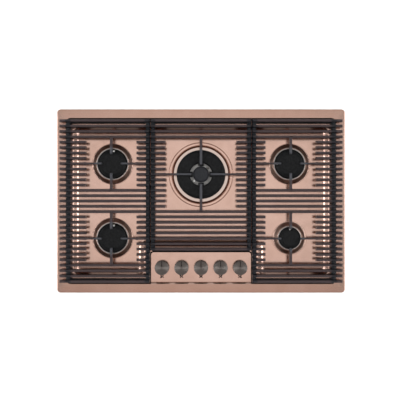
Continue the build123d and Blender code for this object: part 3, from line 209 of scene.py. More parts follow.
# %% [markdown]
# ## Two ways to make a surface
# Round parts are turned, as on a lathe: a ring of edges is extruded and scaled from
# one point of a profile to the next. Pressed outlines are made by insets: a flat face
# is inset again and again, each time a little lower, so that the wall gets a soft
# rounded section. Both read a profile whose corners have been rounded first.

# %% Rounded profiles, the lathe and the press
HALF_SIDE, END_SIDE = 0.49, 0.9  # share of a side, or of an end side, that an arc may take


def rounded(points, radii, steps=4):
    """The line through the points, with an arc of the given radius at each inner point."""
    line = [points[0]]
    for (a, b, c), r in zip(zip(points, points[1:], points[2:]), radii):
        if r == 0:
            line.append(b)
            continue
        ua, uc = [(p[0] - b[0], p[1] - b[1]) for p in (a, c)]
        la, lc = math.hypot(*ua), math.hypot(*uc)
        ua, uc = (ua[0] / la, ua[1] / la), (uc[0] / lc, uc[1] / lc)
        opening = math.acos(max(-1.0, min(1.0, ua[0] * uc[0] + ua[1] * uc[1])))
        room_a = la * (END_SIDE if a is points[0] else HALF_SIDE)
        room_c = lc * (END_SIDE if c is points[-1] else HALF_SIDE)
        along = min(r / math.tan(opening / 2), room_a, room_c)
        r = along * math.tan(opening / 2)
        mid = (ua[0] + uc[0], ua[1] + uc[1])
        reach = r / math.sin(opening / 2) / math.hypot(*mid)
        cx, cy = b[0] + mid[0] * reach, b[1] + mid[1] * reach
        first = math.atan2(b[1] + ua[1] * along - cy, b[0] + ua[0] * along - cx)
        last = math.atan2(b[1] + uc[1] * along - cy, b[0] + uc[0] * along - cx)
        turn = (last - first + math.pi) % (2 * math.pi) - math.pi
        for k in range(steps + 1):
            angle = first + turn * k / steps
            line.append((cx + r * math.cos(angle), cy + r * math.sin(angle)))
    return line + [points[-1]]


def turned(name, profile, at, steps=96, solid=True):
    """Lathe work round the upright axis at (x, y). Profile: (radius, height) points.
    A solid is closed by a flat face at both ends; otherwise it is a skin."""
    x, y = at
    r, z = profile[0]
    fill = "NGON" if solid else "NOTHING"
    piece = start("circle", vertices=steps, radius=r * MM, fill_type=fill)
    move(x, y, z)
    for r_next, z_next in profile[1:]:
        step = {"value": mm(0, 0, z_next - z)}
        if solid:
            bpy.ops.mesh.extrude_region_move(TRANSFORM_OT_translate=step)
        else:
            bpy.ops.mesh.extrude_edges_move(TRANSFORM_OT_translate=step)
        grow = r_next / r
        bpy.ops.transform.resize(value=(grow, grow, 1), center_override=mm(x, y, z_next))
        r, z = r_next, z_next
    return close_up(piece, name)


def press(profile):
    """Insets the selected face along (inset, height) points."""
    for (run, z), (run_next, z_next) in zip(profile, profile[1:]):
        bpy.ops.mesh.inset(
            thickness=(run_next - run) * MM, depth=(z_next - z) * MM, use_even_offset=True
        )


# %% Flat blanks with rounded corners
def corner(vert, x, y):
    """True for the corner at (x, y) and for its mirror image."""
    return abs(abs(vert.co.x) - x * MM) < 1e-6 and abs(vert.co.y - y * MM) < 1e-6


def round_corners(piece, corners):
    """Rounds each mirrored pair of corners (x, y, radius, segments) and selects the face."""
    for x, y, r, segments in corners:
        pick(piece, "verts", lambda v: corner(v, x, y))
        soften(r, segments, "VERTICES")
    bpy.ops.mesh.select_mode(type="FACE")
    select_all()


def blank(half_x, y_front, y_back, z, corners):
    """Flat face, with each mirrored pair of corners (x, y, radius, segments) rounded."""
    piece = rectangle(2 * half_x, y_back - y_front, (0, (y_back + y_front) / 2, z))
    round_corners(piece, corners)
    return piece


def rounded_blank(half_x, half_y, z, r, segments=8):
    """Flat rectangle round the middle, with four rounded corners."""
    return blank(half_x, -half_y, half_y, z, [(half_x, side * half_y, r, segments) for side in (-1, 1)])


# %% Points on a circle and round cutters
def around(x, y, r, degrees):
    """The point at distance r from (x, y), in that direction."""
    return x + r * math.cos(math.radians(degrees)), y + r * math.sin(math.radians(degrees))


def post(x, y, r, z0, z1):
    """Upright round cutter."""
    piece = start("cylinder", vertices=24, radius=r * MM, depth=(z1 - z0) * MM)
    move(x, y, (z0 + z1) / 2)
    return close_up(piece, "post")


# %% [markdown]
# ## Finishes
# Each finish is a small node tree. Noise on object coordinates moves its colour and
# roughness a little, and a bump gives the grain, because nothing real is one flat
# colour. The helpers lay a noise over one input of the shader, in the real scale.

# %% Helpers for nodes
def shader_of(material):
    """The inputs of the material's shader."""
    return material.node_tree.nodes["Principled BSDF"].inputs


def new_node(tree, kind, source=None, **values):
    """A node with these values on its inputs; the source goes into the first one."""
    node = tree.nodes.new("ShaderNode" + kind)
    for socket, value in values.items():
        node.inputs[socket.replace("_", " ")].default_value = value
    if source is not None:
        tree.links.new(source, node.inputs[0])
    return node


def ease(tree, value, out_of, into):
    """0 to 1, softly, as the value goes from one number to the other."""
    node = new_node(tree, "MapRange", value, From_Min=out_of, From_Max=into)
    node.interpolation_type = "SMOOTHSTEP"
    return node.outputs["Result"]


def reckon(tree, operation, *values):
    """One step of arithmetic in a node tree."""
    node = new_node(tree, "Math")
    node.operation = operation
    for socket, value in zip(node.inputs, values):
        if isinstance(value, (int, float)):
            socket.default_value = value
        else:
            tree.links.new(value, socket)
    return node.outputs["Value"]


def product(tree, first, *others):
    """All the values multiplied."""
    for other in others:
        first = reckon(tree, "MULTIPLY", first, other)
    return first


def band(tree, value, rise, fall):
    """1 while the value lies between a soft rise and a soft fall, 0 outside."""
    return product(tree, ease(tree, value, *rise), ease(tree, value, *fall))


def blend(tree, factor, first, second):
    """From the first colour to the second, as the factor goes from 0 to 1."""
    node = new_node(tree, "Mix")
    node.data_type = "RGBA"
    tree.links.new(factor, node.inputs["Factor"])
    for socket, colour in ((node.inputs["A"], first), (node.inputs["B"], second)):
        if isinstance(colour, tuple):
            socket.default_value = (*colour, 1)
        else:
            tree.links.new(colour, socket)
    return node.outputs["Result"]


def place_on(tree):
    """The point's X, Y and Z on object coordinates."""
    return new_node(tree, "SeparateXYZ", new_node(tree, "TexCoord").outputs["Object"]).outputs


def distance_from(tree, x, y):
    """Distance from an upright axis, on object coordinates."""
    place = new_node(tree, "TexCoord").outputs["Object"]
    centre = new_node(tree, "Mapping", place, Location=mm(-x, -y, 0))
    flat = new_node(tree, "VectorMath", centre.outputs["Vector"])
    flat.operation = "MULTIPLY"
    flat.inputs[1].default_value = (1, 1, 0)
    length = new_node(tree, "VectorMath", flat.outputs["Vector"])
    length.operation = "LENGTH"
    return length.outputs["Value"]


# %% Helpers for materials
def finish(name, colour, metallic=0.0, roughness=0.5, **more):
    """A new material whose shader has these plain values."""
    material = bpy.data.materials.new(name)
    material.use_nodes = True
    shader = shader_of(material)
    shader["Base Color"].default_value = (*colour, 1)
    shader["Metallic"].default_value = metallic
    shader["Roughness"].default_value = roughness
    for socket, value in more.items():
        shader[socket.replace("_", " ")].default_value = value
    return material


def noise_of(material, size, detail=3.0, stretch=(1, 1, 1)):
    """A noise whose lumps are about size millimetres, on object coordinates."""
    tree = material.node_tree
    scale = new_node(tree, "Mapping", new_node(tree, "TexCoord").outputs["Object"], Scale=stretch)
    noise = new_node(tree, "TexNoise", scale.outputs["Vector"], Scale=1 / (size * MM), Detail=detail)
    return noise.outputs["Fac"]


def vary_roughness(material, low, high, pattern):
    """Moves the roughness between low and high, as the pattern goes."""
    tree = material.node_tree
    ramp = new_node(tree, "MapRange", pattern, From_Min=0.3, From_Max=0.7, To_Min=low, To_Max=high)
    tree.links.new(ramp.outputs["Result"], shader_of(material)["Roughness"])


def vary_colour(material, low, high, pattern, edges=(0.35, 0.65)):
    """Moves the base colour between two colours, as the pattern goes."""
    tree = material.node_tree
    ramp = new_node(tree, "ValToRGB", pattern)
    for stop, place, colour in zip(ramp.color_ramp.elements, edges, (low, high)):
        stop.position = place
        stop.color = (*colour, 1)
    tree.links.new(ramp.outputs["Color"], shader_of(material)["Base Color"])


def emboss(material, height, pattern, strength):
    """Bump of that height in millimetres."""
    tree = material.node_tree
    bump = new_node(tree, "Bump", Strength=strength, Distance=height * MM)
    tree.links.new(pattern, bump.inputs["Height"])
    tree.links.new(bump.outputs["Normal"], shader_of(material)["Normal"])


def grain(material, colour=None, rough=None, bump=None):
    """Lays noises over a finish. Colour and roughness: (low, high, size of the lumps,
    detail). Bump: (height, size of the lumps, detail, strength). Sizes in millimetres."""
    if colour:
        low, high, *noise = colour
        vary_colour(material, low, high, noise_of(material, *noise))
    if rough:
        low, high, *noise = rough
        vary_roughness(material, low, high, noise_of(material, *noise))
    if bump:
        height, *noise, strength = bump
        emboss(material, height, noise_of(material, *noise), strength)
    return material


# %% [markdown]
# ### Polished, copper-coloured steel
# The plate is stainless steel, polished and coated by vapour in vacuum, so it is a
# mirror with a rose tint. A mirror shows every error of its surface: the sheet waves a
# little over a hand's width, and wiping leaves areas that scatter slightly more. Round the
# middle burner the coat is paler, and outside the paler field a dark ring is painted on
# the platform's slope, a painted reflection of the dim sky that the slope mirrors; the
# other collars have lost some of their gloss. These marks are worked out from the
# distance to each burner's axis, so they stay where they are from any side.

# %% Copper finish
# Burners: x, y and the radius of the crown's foot, in millimetres.
FLAMES = [
    (-246.0, 102.9, 45), (246.0, 102.9, 45), (-246.0, -102.9, 45), (246.0, -102.9, 36), (0.0, 73.5, 69),
]
# Rings round the middle burner, in metres from its axis: a paler field, and outside it a dark ring of
# painted reflection on the platform's slope.
PALER_FIELD, DARK_RING_RISE, DARK_RING_FALL = (0.0762, 0.0752), (0.0751, 0.0759), (0.0793, 0.0784)
# Dull zone round the other crowns: where it starts and is full, and what it adds.
DULL_START, DULL_FULL, DULLNESS = 14, 9, 0.12

copper = finish("polished_copper_coat", (0.66, 0.44, 0.36), 1.0, 0.06)
grain(copper, ((0.64, 0.422, 0.342), (0.68, 0.458, 0.378), 60, 5), (0.17, 0.22, 25, 6), (0.03, 90, 1, 0.35))
tree = copper.node_tree
tint, gloss = shader_of(copper)["Base Color"], shader_of(copper)["Roughness"]
from_flame = distance_from(tree, *FLAMES[-1][:2])
# The coat is paler over the middle burner's platform.
paler_platform = blend(tree, ease(tree, from_flame, *PALER_FIELD), tint.links[0].from_socket, (0.64, 0.51, 0.45))
# Painted reflection: a dark ring on the platform's slope, standing in for the dim sky it mirrors.
painted_dark_ring = band(tree, from_flame, DARK_RING_RISE, DARK_RING_FALL)
tree.links.new(blend(tree, painted_dark_ring, paler_platform, (0.13, 0.06, 0.042)), tint)
dulled = 0.0
for x, y, r in FLAMES[:-1]:
    near = ease(tree, distance_from(tree, x, y), (r + DULL_START) * MM, (r + DULL_FULL) * MM)
    dulled = reckon(tree, "MAXIMUM", dulled, near)
tree.links.new(reckon(tree, "MULTIPLY_ADD", dulled, DULLNESS, gloss.links[0].from_socket), gloss)
print("finish", copper.name)

# %% [markdown]
# ### Vitreous enamel on iron
# Grates and caps are iron under fused black glass. The enamel is satin, with a fine
# orange peel. On the grates the upper faces are painted lighter and browner, a painted
# highlight for the light that falls on the tops; over the rails this is left out, and the
# bars stay black there as painted shade. Right over a flame the enamel is a lighter grey,
# and the faces that look down are painted brown, a painted bounce of light from the plate.
# The caps are more matt.

# %% Enamel finishes
# Distances from the plate's middle line, in metres: soft rise and fall over the rails.
INNER_RAILS, OUTER_RAILS = ((0.1235, 0.1275), (0.1565, 0.1525)), ((0.355, 0.359), (0.3745, 0.3705))

# The painted lighter top comes in between these two heights.
UNDERSIDE, TOP = 0.0705, 0.0815  # the browning comes in between these heights, in metres
GREY_START, GREY_FULL = 3, -2  # from the crown's foot, in millimetres


def painted_light_enamel(name, fresh, lit_top_colour, grey_over_flame, bounce_light_below):
    """Black enamel with painted light: the upper faces painted lighter and browner as a
    painted highlight, but not above the rails, left black there as painted shade; lighter
    grey right over a flame; faces that look down painted brown as painted bounce light."""
    made = finish(name, fresh, 0.0, 0.4, Specular_IOR_Level=0.28)
    tree = made.node_tree
    place = place_on(tree)
    # Painted highlight: the upper faces get lighter and browner by height.
    height = ease(tree, place["Z"], UNDERSIDE, TOP)
    patches = reckon(tree, "MULTIPLY_ADD", noise_of(made, 9.0, 6.0), 0.5, height)
    aside = reckon(tree, "ABSOLUTE", place["X"])
    # Painted shade: over the rails the lighter top is left out, so the bars stay black.
    over_rails = reckon(tree, "ADD", band(tree, aside, *INNER_RAILS), band(tree, aside, *OUTER_RAILS))
    away_from_rails = reckon(tree, "SUBTRACT", 1.0, product(tree, over_rails, 0.8))
    lit_top_share = product(tree, ease(tree, patches, 0.25, 1.2), away_from_rails)
    # Lighter grey right over each flame.
    over_flame = 0.0
    for x, y, r in FLAMES:
        near = ease(tree, distance_from(tree, x, y), (r + GREY_START) * MM, (r + GREY_FULL) * MM)
        over_flame = reckon(tree, "MAXIMUM", over_flame, near)
    colour = blend(tree, lit_top_share, fresh, blend(tree, over_flame, lit_top_colour, grey_over_flame))
    # Painted bounce light: faces that look down are painted brown, for light thrown up from the plate.
    facing = new_node(tree, "SeparateXYZ", new_node(tree, "NewGeometry").outputs["Normal"])
    colour = blend(tree, ease(tree, facing.outputs["Z"], -0.4, -0.8), colour, bounce_light_below)
    tree.links.new(colour, shader_of(made)["Base Color"])
    return made


grate_enamel = painted_light_enamel(
    "satin_black_enamel", fresh=(0.009, 0.011, 0.015), lit_top_colour=(0.056, 0.039, 0.041),
    grey_over_flame=(0.066, 0.068, 0.078), bounce_light_below=(0.42, 0.26, 0.2),
)
grain(grate_enamel, rough=(0.34, 0.52, 3, 3), bump=(0.06, 1.1, 2, 0.5))
cap_enamel = grain(
    finish("matt_black_enamel", (0.014, 0.014, 0.016), 0.0, 0.5, Specular_IOR_Level=0.16),
    ((0.006, 0.0064, 0.0068), (0.0125, 0.013, 0.0138), 5, 6), (0.42, 0.6, 2, 3), (0.04, 0.8, 2, 0.5),
)
# The pilot cap's enamel is a little lighter than the ring cap's.
pilot_enamel = grain(
    finish("lighter_pilot_enamel", (0.02, 0.02, 0.022), 0.0, 0.55, Specular_IOR_Level=0.2),
    ((0.018, 0.019, 0.022), (0.032, 0.033, 0.038), 3, 6), bump=(0.06, 1, 3, 0.6),
)
print("finishes", grate_enamel.name, cap_enamel.name, pilot_enamel.name)

# %% [markdown]
# ### The other metals
# Die-cast aluminium is grey and slightly rough, turned aluminium is brighter, drawn
# tube has streaks along it, galvanised sheet shows crystals of zinc, and brass is
# warm. All have the same base: a metal shader with its own grain.

# %% Metal finishes
cast_aluminium = grain(
    finish("die_cast_aluminium", (0.5, 0.5, 0.51), 1.0, 0.45),
    ((0.34, 0.34, 0.335), (0.46, 0.46, 0.45), 6, 6), (0.38, 0.6, 2, 3), (0.05, 0.7, 3, 0.4),
)
crown_aluminium = grain(
    finish("turned_aluminium", (0.62, 0.6, 0.58), 1.0, 0.3),
    ((0.52, 0.5, 0.48), (0.7, 0.68, 0.66), 8, 6), (0.24, 0.42, 3, 5), (0.02, 0.3, 3, (1, 1, 8), 0.4),
)
drawn_aluminium = grain(
    finish("drawn_aluminium_tube", (0.66, 0.67, 0.68), 1.0, 0.3),
    ((0.58, 0.59, 0.6), (0.72, 0.73, 0.74), 12, 5), (0.22, 0.4, 2, 5),
)
bright_steel = grain(
    finish("bright_steel", (0.6, 0.6, 0.61), 1.0, 0.25),
    ((0.52, 0.52, 0.53), (0.66, 0.66, 0.67), 4, 4), (0.18, 0.36, 1.5, 5),
)
heated_steel = grain(
    finish("heated_sensor_steel", (0.42, 0.37, 0.32), 1.0, 0.35),
    ((0.3, 0.25, 0.21), (0.5, 0.46, 0.42), 2.5, 4), (0.28, 0.45, 1, 3),
)
brass = grain(
    finish("turned_brass", (0.68, 0.5, 0.22), 1.0, 0.3),
    ((0.58, 0.42, 0.18), (0.74, 0.56, 0.27), 5, 5), (0.22, 0.42, 1.5, 3),
)


def paint_shade_below(material, z_low, z_high, dark):
    """Painted shade: the hollow between these two heights is painted darker, where the cap above shades it.
    """
    tree = material.node_tree
    tint = shader_of(material)["Base Color"]
    height = ease(tree, place_on(tree)["Z"], z_low, z_high)
    tree.links.new(blend(tree, height, dark, tint.links[0].from_socket), tint)


# Painted shade in the crown's dish, under the cap.
paint_shade_below(crown_aluminium, 0.05055, 0.0508, (0.03, 0.024, 0.02))


def galvanised_sheet():
    """Zinc-coated sheet: large flat crystals, each with its own grey and gloss."""
    made = finish("galvanised_sheet", (0.5, 0.51, 0.52), 1.0, 0.35)
    tree = made.node_tree
    crystals = new_node(tree, "TexVoronoi", new_node(tree, "TexCoord").outputs["Object"], Scale=110.0)
    split = new_node(tree, "SeparateColor", crystals.outputs["Color"])
    vary_roughness(made, 0.28, 0.42, split.outputs["Green"])
    vary_colour(made, (0.42, 0.43, 0.44), (0.58, 0.59, 0.6), split.outputs["Red"], (0.1, 0.9))
    return made


galvanised = galvanised_sheet()
print("finishes so far", len(bpy.data.materials))

# %% [markdown]
# ### Ceramic, rubber, plastic and ink
# The electrodes are white glazed ceramic. Feet, seals and leads are rubber, dull and
# a little uneven. The strip round the knob panel is a softer and deeper black: painted
# shade, a dark strip laid where the gap between the panel and the grates lies in shadow.
# The module and the switches are moulded plastic with a fine texture.

# %% Non-metal finishes
white_ceramic = grain(
    finish("white_glazed_ceramic", (0.82, 0.81, 0.78), 0.0, 0.2),
    ((0.88, 0.87, 0.84), (0.95, 0.95, 0.93), 3, 3),
)
foot_rubber = grain(
    finish("moulded_black_rubber", (0.02, 0.02, 0.02), 0.0, 0.7),
    ((0.014, 0.014, 0.014), (0.03, 0.03, 0.03), 3, 5), bump=(0.05, 0.6, 3, 0.4),
)
# Painted shade: the deep black of the strip round the knob panel.
shadow_strip_black = grain(
    finish("black_shadow_strip", (0.004, 0.0035, 0.003), 0.0, 0.8, Specular_IOR_Level=0.08),
    ((0.003, 0.0022, 0.0018), (0.006, 0.0045, 0.004), 2, 3),
)
lead_rubber = grain(
    finish("red_silicone_lead", (0.42, 0.05, 0.035), 0.0, 0.55),
    ((0.36, 0.04, 0.03), (0.48, 0.07, 0.05), 12, 3),
)
foam = grain(
    finish("closed_cell_foam", (0.03, 0.03, 0.03), 0.0, 0.9),
    ((0.018, 0.018, 0.018), (0.045, 0.045, 0.045), 1.5, 5), bump=(0.25, 1, 4, 0.7),
)
black_plastic = grain(
    finish("black_moulded_plastic", (0.02, 0.02, 0.021), 0.0, 0.5),
    rough=(0.42, 0.6, 2, 3), bump=(0.04, 0.5, 3, 0.4),
)
white_plastic = grain(
    finish("white_moulded_plastic", (0.72, 0.72, 0.7), 0.0, 0.45),
    ((0.66, 0.66, 0.63), (0.76, 0.76, 0.74), 20, 3), bump=(0.04, 0.6, 3, 0.3),
)
dark_ink = grain(
    finish("dark_screen_print", (0.02, 0.016, 0.015), 0.0, 0.6, Specular_IOR_Level=0.1),
    ((0.012, 0.009, 0.009), (0.028, 0.021, 0.02), 2, 3),
)
print("finishes in all", len(bpy.data.materials))


# %% Put a finish on a piece
def coat(piece, material):
    """The piece wears this finish all over."""
    piece.data.materials.clear()
    piece.data.materials.append(material)
    return piece


def dress(piece, material, angle, body, node):
    """Finishes a piece and puts it in the place of its CAD node."""
    smooth(coat(piece, material), angle)
    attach(piece, body)
    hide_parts(node)
    return piece


# %% [markdown]
# ## The plate
# One sheet of steel, pressed in one blow: a raised border with a turned-down lip, a
# narrow ledge that carries the grates, a basin under the burners, a raised collar round
# each burner and a raised panel for the knobs. The border and the basin are pressed by
# insets and the collars are turned; then the flat areas between them are filled.

# %% The plate's sizes, in millimetres
PLATE_X, PLATE_Y = 400.0, 255.0
LIP_Z, RIM_Z, LEDGE_Z, PANEL_Z, FLOOR_Z = 48.0, 54.0, 50.5, 52.5, 42.0
COLLAR_Z, PLATFORM_Z = 49.0, 47.0
BRIM_X, BRIM_Y = 375.5, 230.5
BASIN_X, BASIN_Y = 355.5, 209.5
NOTCH_X, NOTCH_Y = 157.0, -126.6
SHEET, BORDER_FALL = 1.2, 0.7
CENTRE = (0.0, 73.5)
RAPID = dict(cap=39.5, flat=29.0, skirt=44.0, port=37.0, port_in=28.6, throat=26.0, probe=35.2, ports=40)
SEMI = dict(cap=30.2, flat=20.5, skirt=32.8, port=28.0, port_in=18.2, throat=14.5, probe=24.7, ports=30)
BURNERS = {
    "rear_left": (-246.0, 102.9, RAPID, 82.0),
    "rear_right": (246.0, 102.9, RAPID, 180.0),
    "front_left": (-246.0, -102.9, RAPID, 82.0),
    "front_right": (246.0, -102.9, SEMI, 90.0),
}
KNOBS = {
    "front_left": -108.0, "rear_left": -54.0, "centre": 0.0, "rear_right": 54.0, "front_right": 108.0,
}
KNOB_Y = -184.2
print("burners", len(BURNERS) + 1, "knobs", len(KNOBS))

# %% [markdown]
# ### Border, ledge and basin
# The border falls a little towards its outer edge, so that spills run off the joint
# with the worktop; it is bridged from the rounded lip to the brim of the recess.

# %% The border
def pressed_border():
    """Lip, rounded edge and a border that falls by a fraction of a millimetre."""
    edge_r, corner_r, top = 2.5, 10.5, RIM_Z - BORDER_FALL
    outer = rounded_blank(PLATE_X, PLATE_Y, LIP_Z, corner_r)
    extrude_up(top - edge_r - LIP_Z)
    angles = [math.radians(15.0 * k) for k in range(7)]
    press([(edge_r * (1 - math.cos(a)), top - edge_r * (1 - math.sin(a))) for a in angles])
    bpy.ops.mesh.delete(type="ONLY_FACE")
    pick(outer, "faces", lambda f: len(f.verts) > 20)
    bpy.ops.mesh.delete(type="ONLY_FACE")
    return close_up(outer, "border")


# %% The step and the ledge
def pressed_ledge():
    """The small step down from the border to the ledge."""
    soft = 0.8
    step = rounded_blank(BRIM_X + soft, BRIM_Y + soft, RIM_Z, 14.0 + soft)
    line = [(0, RIM_Z), (soft, RIM_Z), (soft + 5.4, LEDGE_Z), (2 * soft + 5.8, LEDGE_Z)]
    press(rounded(line, [1.0, 1.0], 3))
    bpy.ops.mesh.delete(type="ONLY_FACE")
    return close_up(step, "step")


# %% The basin
def pressed_basin():
    """The wall of the basin, round the knob panel's ledge: steep above, gentle below."""
    soft, upper_run, lower_run, lower_rise = 1.5, 10.5, 6.0, 2.2
    x, y = BASIN_X + soft, BASIN_Y + soft
    nx, ny = NOTCH_X - soft, NOTCH_Y - soft
    basin = rectangle(2 * x, 2 * y, (0, 0, LEDGE_Z))
    cuts = [(mm(-nx, 0, 0), (1, 0, 0)), (mm(nx, 0, 0), (1, 0, 0)), (mm(0, ny, 0), (0, 1, 0))]
    for place, direction in cuts:
        select_all()
        bpy.ops.mesh.bisect(plane_co=place, plane_no=direction)

    def in_notch(face):
        middle = face.calc_center_median()
        return abs(middle.x) < nx * MM and middle.y < ny * MM

    pick(basin, "faces", in_notch)
    bpy.ops.mesh.delete(type="FACE")
    select_all()
    bpy.ops.mesh.dissolve_limited(angle_limit=math.radians(1))
    outer_r, inner_r = 22.0 + 2 * soft, 8.0 - soft
    outer = [(cx, cy, outer_r, 10) for cx, cy in ((x, y), (x, -y), (nx, -y))]
    round_corners(basin, [(nx, ny, inner_r, 8)] + outer)
    bend, foot = soft + upper_run, soft + upper_run + lower_run
    wall = [(0, LEDGE_Z), (soft, LEDGE_Z), (bend, FLOOR_Z + lower_rise), (foot, FLOOR_Z)]
    line = wall + [(foot + 4.5, FLOOR_Z)]
    press(rounded(line, [6.0, 14.0, 14.0], 5))
    bpy.ops.mesh.delete(type="ONLY_FACE")
    return close_up(basin, "basin")


# %% Press all three
plate_parts = [pressed_border(), pressed_ledge(), pressed_basin()]
print("pressed", [(p.name, len(p.data.polygons)) for p in plate_parts])

# %% [markdown]
# ### Collars
# Each burner stands on a raised cone with a flat top. The middle burner has a lower
# platform and a bead in the floor round it, which stops a spill from spreading.

# %% Turn the collars
def cup_hole(kind):
    """Radius of the plate's hole for the burner's cup."""
    return kind["throat"] + 3.7


for name, (x, y, kind, _) in BURNERS.items():
    top_r = kind["skirt"] + 1.0
    foot_r = top_r + 10.7
    hole_r = cup_hole(kind)
    line = [(foot_r + 6.0, FLOOR_Z), (foot_r - 0.5, FLOOR_Z), (top_r, COLLAR_Z), (hole_r, COLLAR_Z)]
    plate_parts.append(turned("collar_" + name, rounded(line, [8.0, 2.0], 6), (x, y), 96, solid=False))
bead = [(91.5, FLOOR_Z), (90.0, FLOOR_Z), (88.8, FLOOR_Z + 1.1), (87.6, FLOOR_Z)]
slope = [(82.2, FLOOR_Z), (77.6, PLATFORM_Z), (47.7, PLATFORM_Z)]
line = rounded(bead + slope, [0.4, 0.5, 0.4, 0.8, 0.8], 5)
plate_parts.append(turned("platform", line, CENTRE, 128, solid=False))
print("turned", [p.name for p in plate_parts[3:]])

# %% [markdown]
# ### One sheet
# The pieces become one mesh. The open loops at each level are filled, flat, and the
# skin is given the thickness of the sheet on its underside.

# %% Fill the flats and give the sheet its thickness
def is_open(edge, z):
    """An edge on the rim of the skin, at that height."""
    return len(edge.link_faces) == 1 and lies_at(edge, z)


def in_middle(edge):
    """True inside the bead round the middle burner and in each burner's hole."""
    centres = [(x, y, cup_hole(kind) + 1) for x, y, kind, _ in BURNERS.values()] + [(*CENTRE, 90.0)]
    point = edge.verts[0].co / MM
    return any(math.hypot(point.x - x, point.y - y) < r for x, y, r in centres)


plate = join("hob_plate_top", plate_parts)
bpy.ops.object.mode_set(mode="EDIT")
for level in (LEDGE_Z, FLOOR_Z):
    pick(plate, "edges", lambda e: is_open(e, level) and not in_middle(e))
    bpy.ops.mesh.fill(use_beauty=True)
pick(plate, "edges", lambda e: is_open(e, RIM_Z) or is_open(e, RIM_Z - BORDER_FALL))
bpy.ops.mesh.bridge_edge_loops()
close_up(plate, "hob_plate_top")
upward = sum(f.normal.z * f.area for f in plate.data.polygons)
if upward < 0:
    plate.data.flip_normals()
modify(plate, "SOLIDIFY", thickness=SHEET * MM, offset=-1.0, use_even_offset=True)
print("plate", len(plate.data.polygons), "faces, upward area", round(upward, 3), "m2")

# %% [markdown]
# ### The knob panel
# The panel is a shallow raised field in front of the middle grate; its front edge runs
# on into the border's step. A black strip round its back and its sides is painted shade,
# laid where the gap between the panel and the grates lies in shadow.
# Holes for the five spindles, the probes and the screws are drilled last, through the
# finished sheet.

# %% Press the panel and lay the black shadow strip
def pressed_panel():
    """Raised field with a crisp edge and two rounded corners."""
    half, back, front = 139.4, -142.0, -225.2
    panel = blank(half, front, back, LEDGE_Z, [(half, back, 8.0, 8)])
    press(rounded([(0, LEDGE_Z), (0.1, PANEL_Z), (1.5, PANEL_Z)], [0.5], 4))
    panel = close_up(panel, "panel")
    return modify(panel, "SOLIDIFY", thickness=SHEET * MM, offset=-1.0)


def panel_shadow_strip():
    """Painted shade: a black strip round the back and the sides of the panel, where the gap lies in shadow.
    """
    half, back, front, width, height = 142.6, -138.9, -229.3, 3.4, 2.1
    strip = blank(half, front - 20, back, LEDGE_Z, [(half, back, 10.5, 8)])
    bpy.ops.mesh.inset(thickness=width * MM)
    bpy.ops.mesh.delete(type="FACE")
    select_all()
    extrude_up(height)
    select_all()
    bpy.ops.mesh.bisect(plane_co=mm(0, front, 0), plane_no=(0, 1, 0), clear_inner=True, use_fill=True)
    pick(strip, "edges", lambda e: sharp(e) and lowest(e) > LEDGE_Z + 2)
    soften(0.7, 3)
    return close_up(strip, "panel_shadow_strip")


# %% Drill the holes
SPINDLE_HOLE_R, PIN_HOLE_R, SCREW_HOLE_R = 5.5, 2.7, 2.2


def drill(x, y, r, z):
    """Cutter for a hole through a sheet at that height."""
    return post(x, y, r, z - 3, z + 3)


panel = pressed_panel()
carve(panel, join("drills", [drill(x, KNOB_Y, SPINDLE_HOLE_R, PANEL_Z) for x in KNOBS.values()]))
drills = []
for x, y, kind, turn in BURNERS.values():
    for half in (0, 180):
        drills.append(drill(*around(x, y, kind["probe"], turn + half), PIN_HOLE_R, COLLAR_Z))
        drills.append(drill(*around(x, y, cup_hole(kind) + 4.0, turn + 45 + half), SCREW_HOLE_R, COLLAR_Z))
for half in (0, 180):
    drills.append(drill(*around(*CENTRE, 51.7, 45 + half), SCREW_HOLE_R, PLATFORM_Z))
carve(plate, join("drills", drills))
plate = join("hob_plate_top", [plate, panel])
dress(plate, copper, 32.0, "root", "hob_plate")
# The black strip round the knob panel, painted shade.
shadow_strip = smooth(coat(panel_shadow_strip(), shadow_strip_black), 40.0)
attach(shadow_strip, "root")
print("plate drilled", len(plate.data.polygons), "faces")

# %% [markdown]
# ## The grates
# Three grates of close parallel bars, cast in iron. Underneath, four rails make a
# frame with rounded corners; short bars stop round each burner and leave a window, into
# which four arms reach to hold the pan. One bar of each length is modelled, with its
# sloped ends and rounded edges, and an array sets it out row by row.

# %% The grates' sizes, in millimetres
ROW, BAR_W, BAR_TOP_W, BAR_Z, GRATE_Z, RAIL_Z = 14.7, 7.8, 6.4, 69.0, 83.0, 53.0
RAIL_TOP = BAR_Z + 1
END_SLOPE, BLUNT = 2.0, 0.5  # slope of a free end and of an end over a rail
ARM_W, CROSS_ARM_W, ARM_GAP = 5.2, 7.2, 25.0
GRATE_X, GRATE_Y, INNER_X, CENTRE_X, CENTRE_FRONT = 371.1, 226.1, 140.7, 138.7, -137.9
TIP_X = GRATE_X + 18.3
RAIL_W = 11.5
print("rows", round(2 * GRATE_Y / ROW), "bars", BAR_W, "mm wide")

# %% [markdown]
# ### Bars, arms and rails
# A cast bar is narrower at its top than at its foot, so that it leaves the mould, and
# all its edges are round. An arm rises on its underside towards the tip and is flared
# where it joins its bar.

# %% A row of bars
def round_edges(width, segments=2):
    """Rounds all the edges of what is open in edit mode."""
    bpy.ops.mesh.select_mode(type="EDGE")
    select_all()
    soften(width, segments)


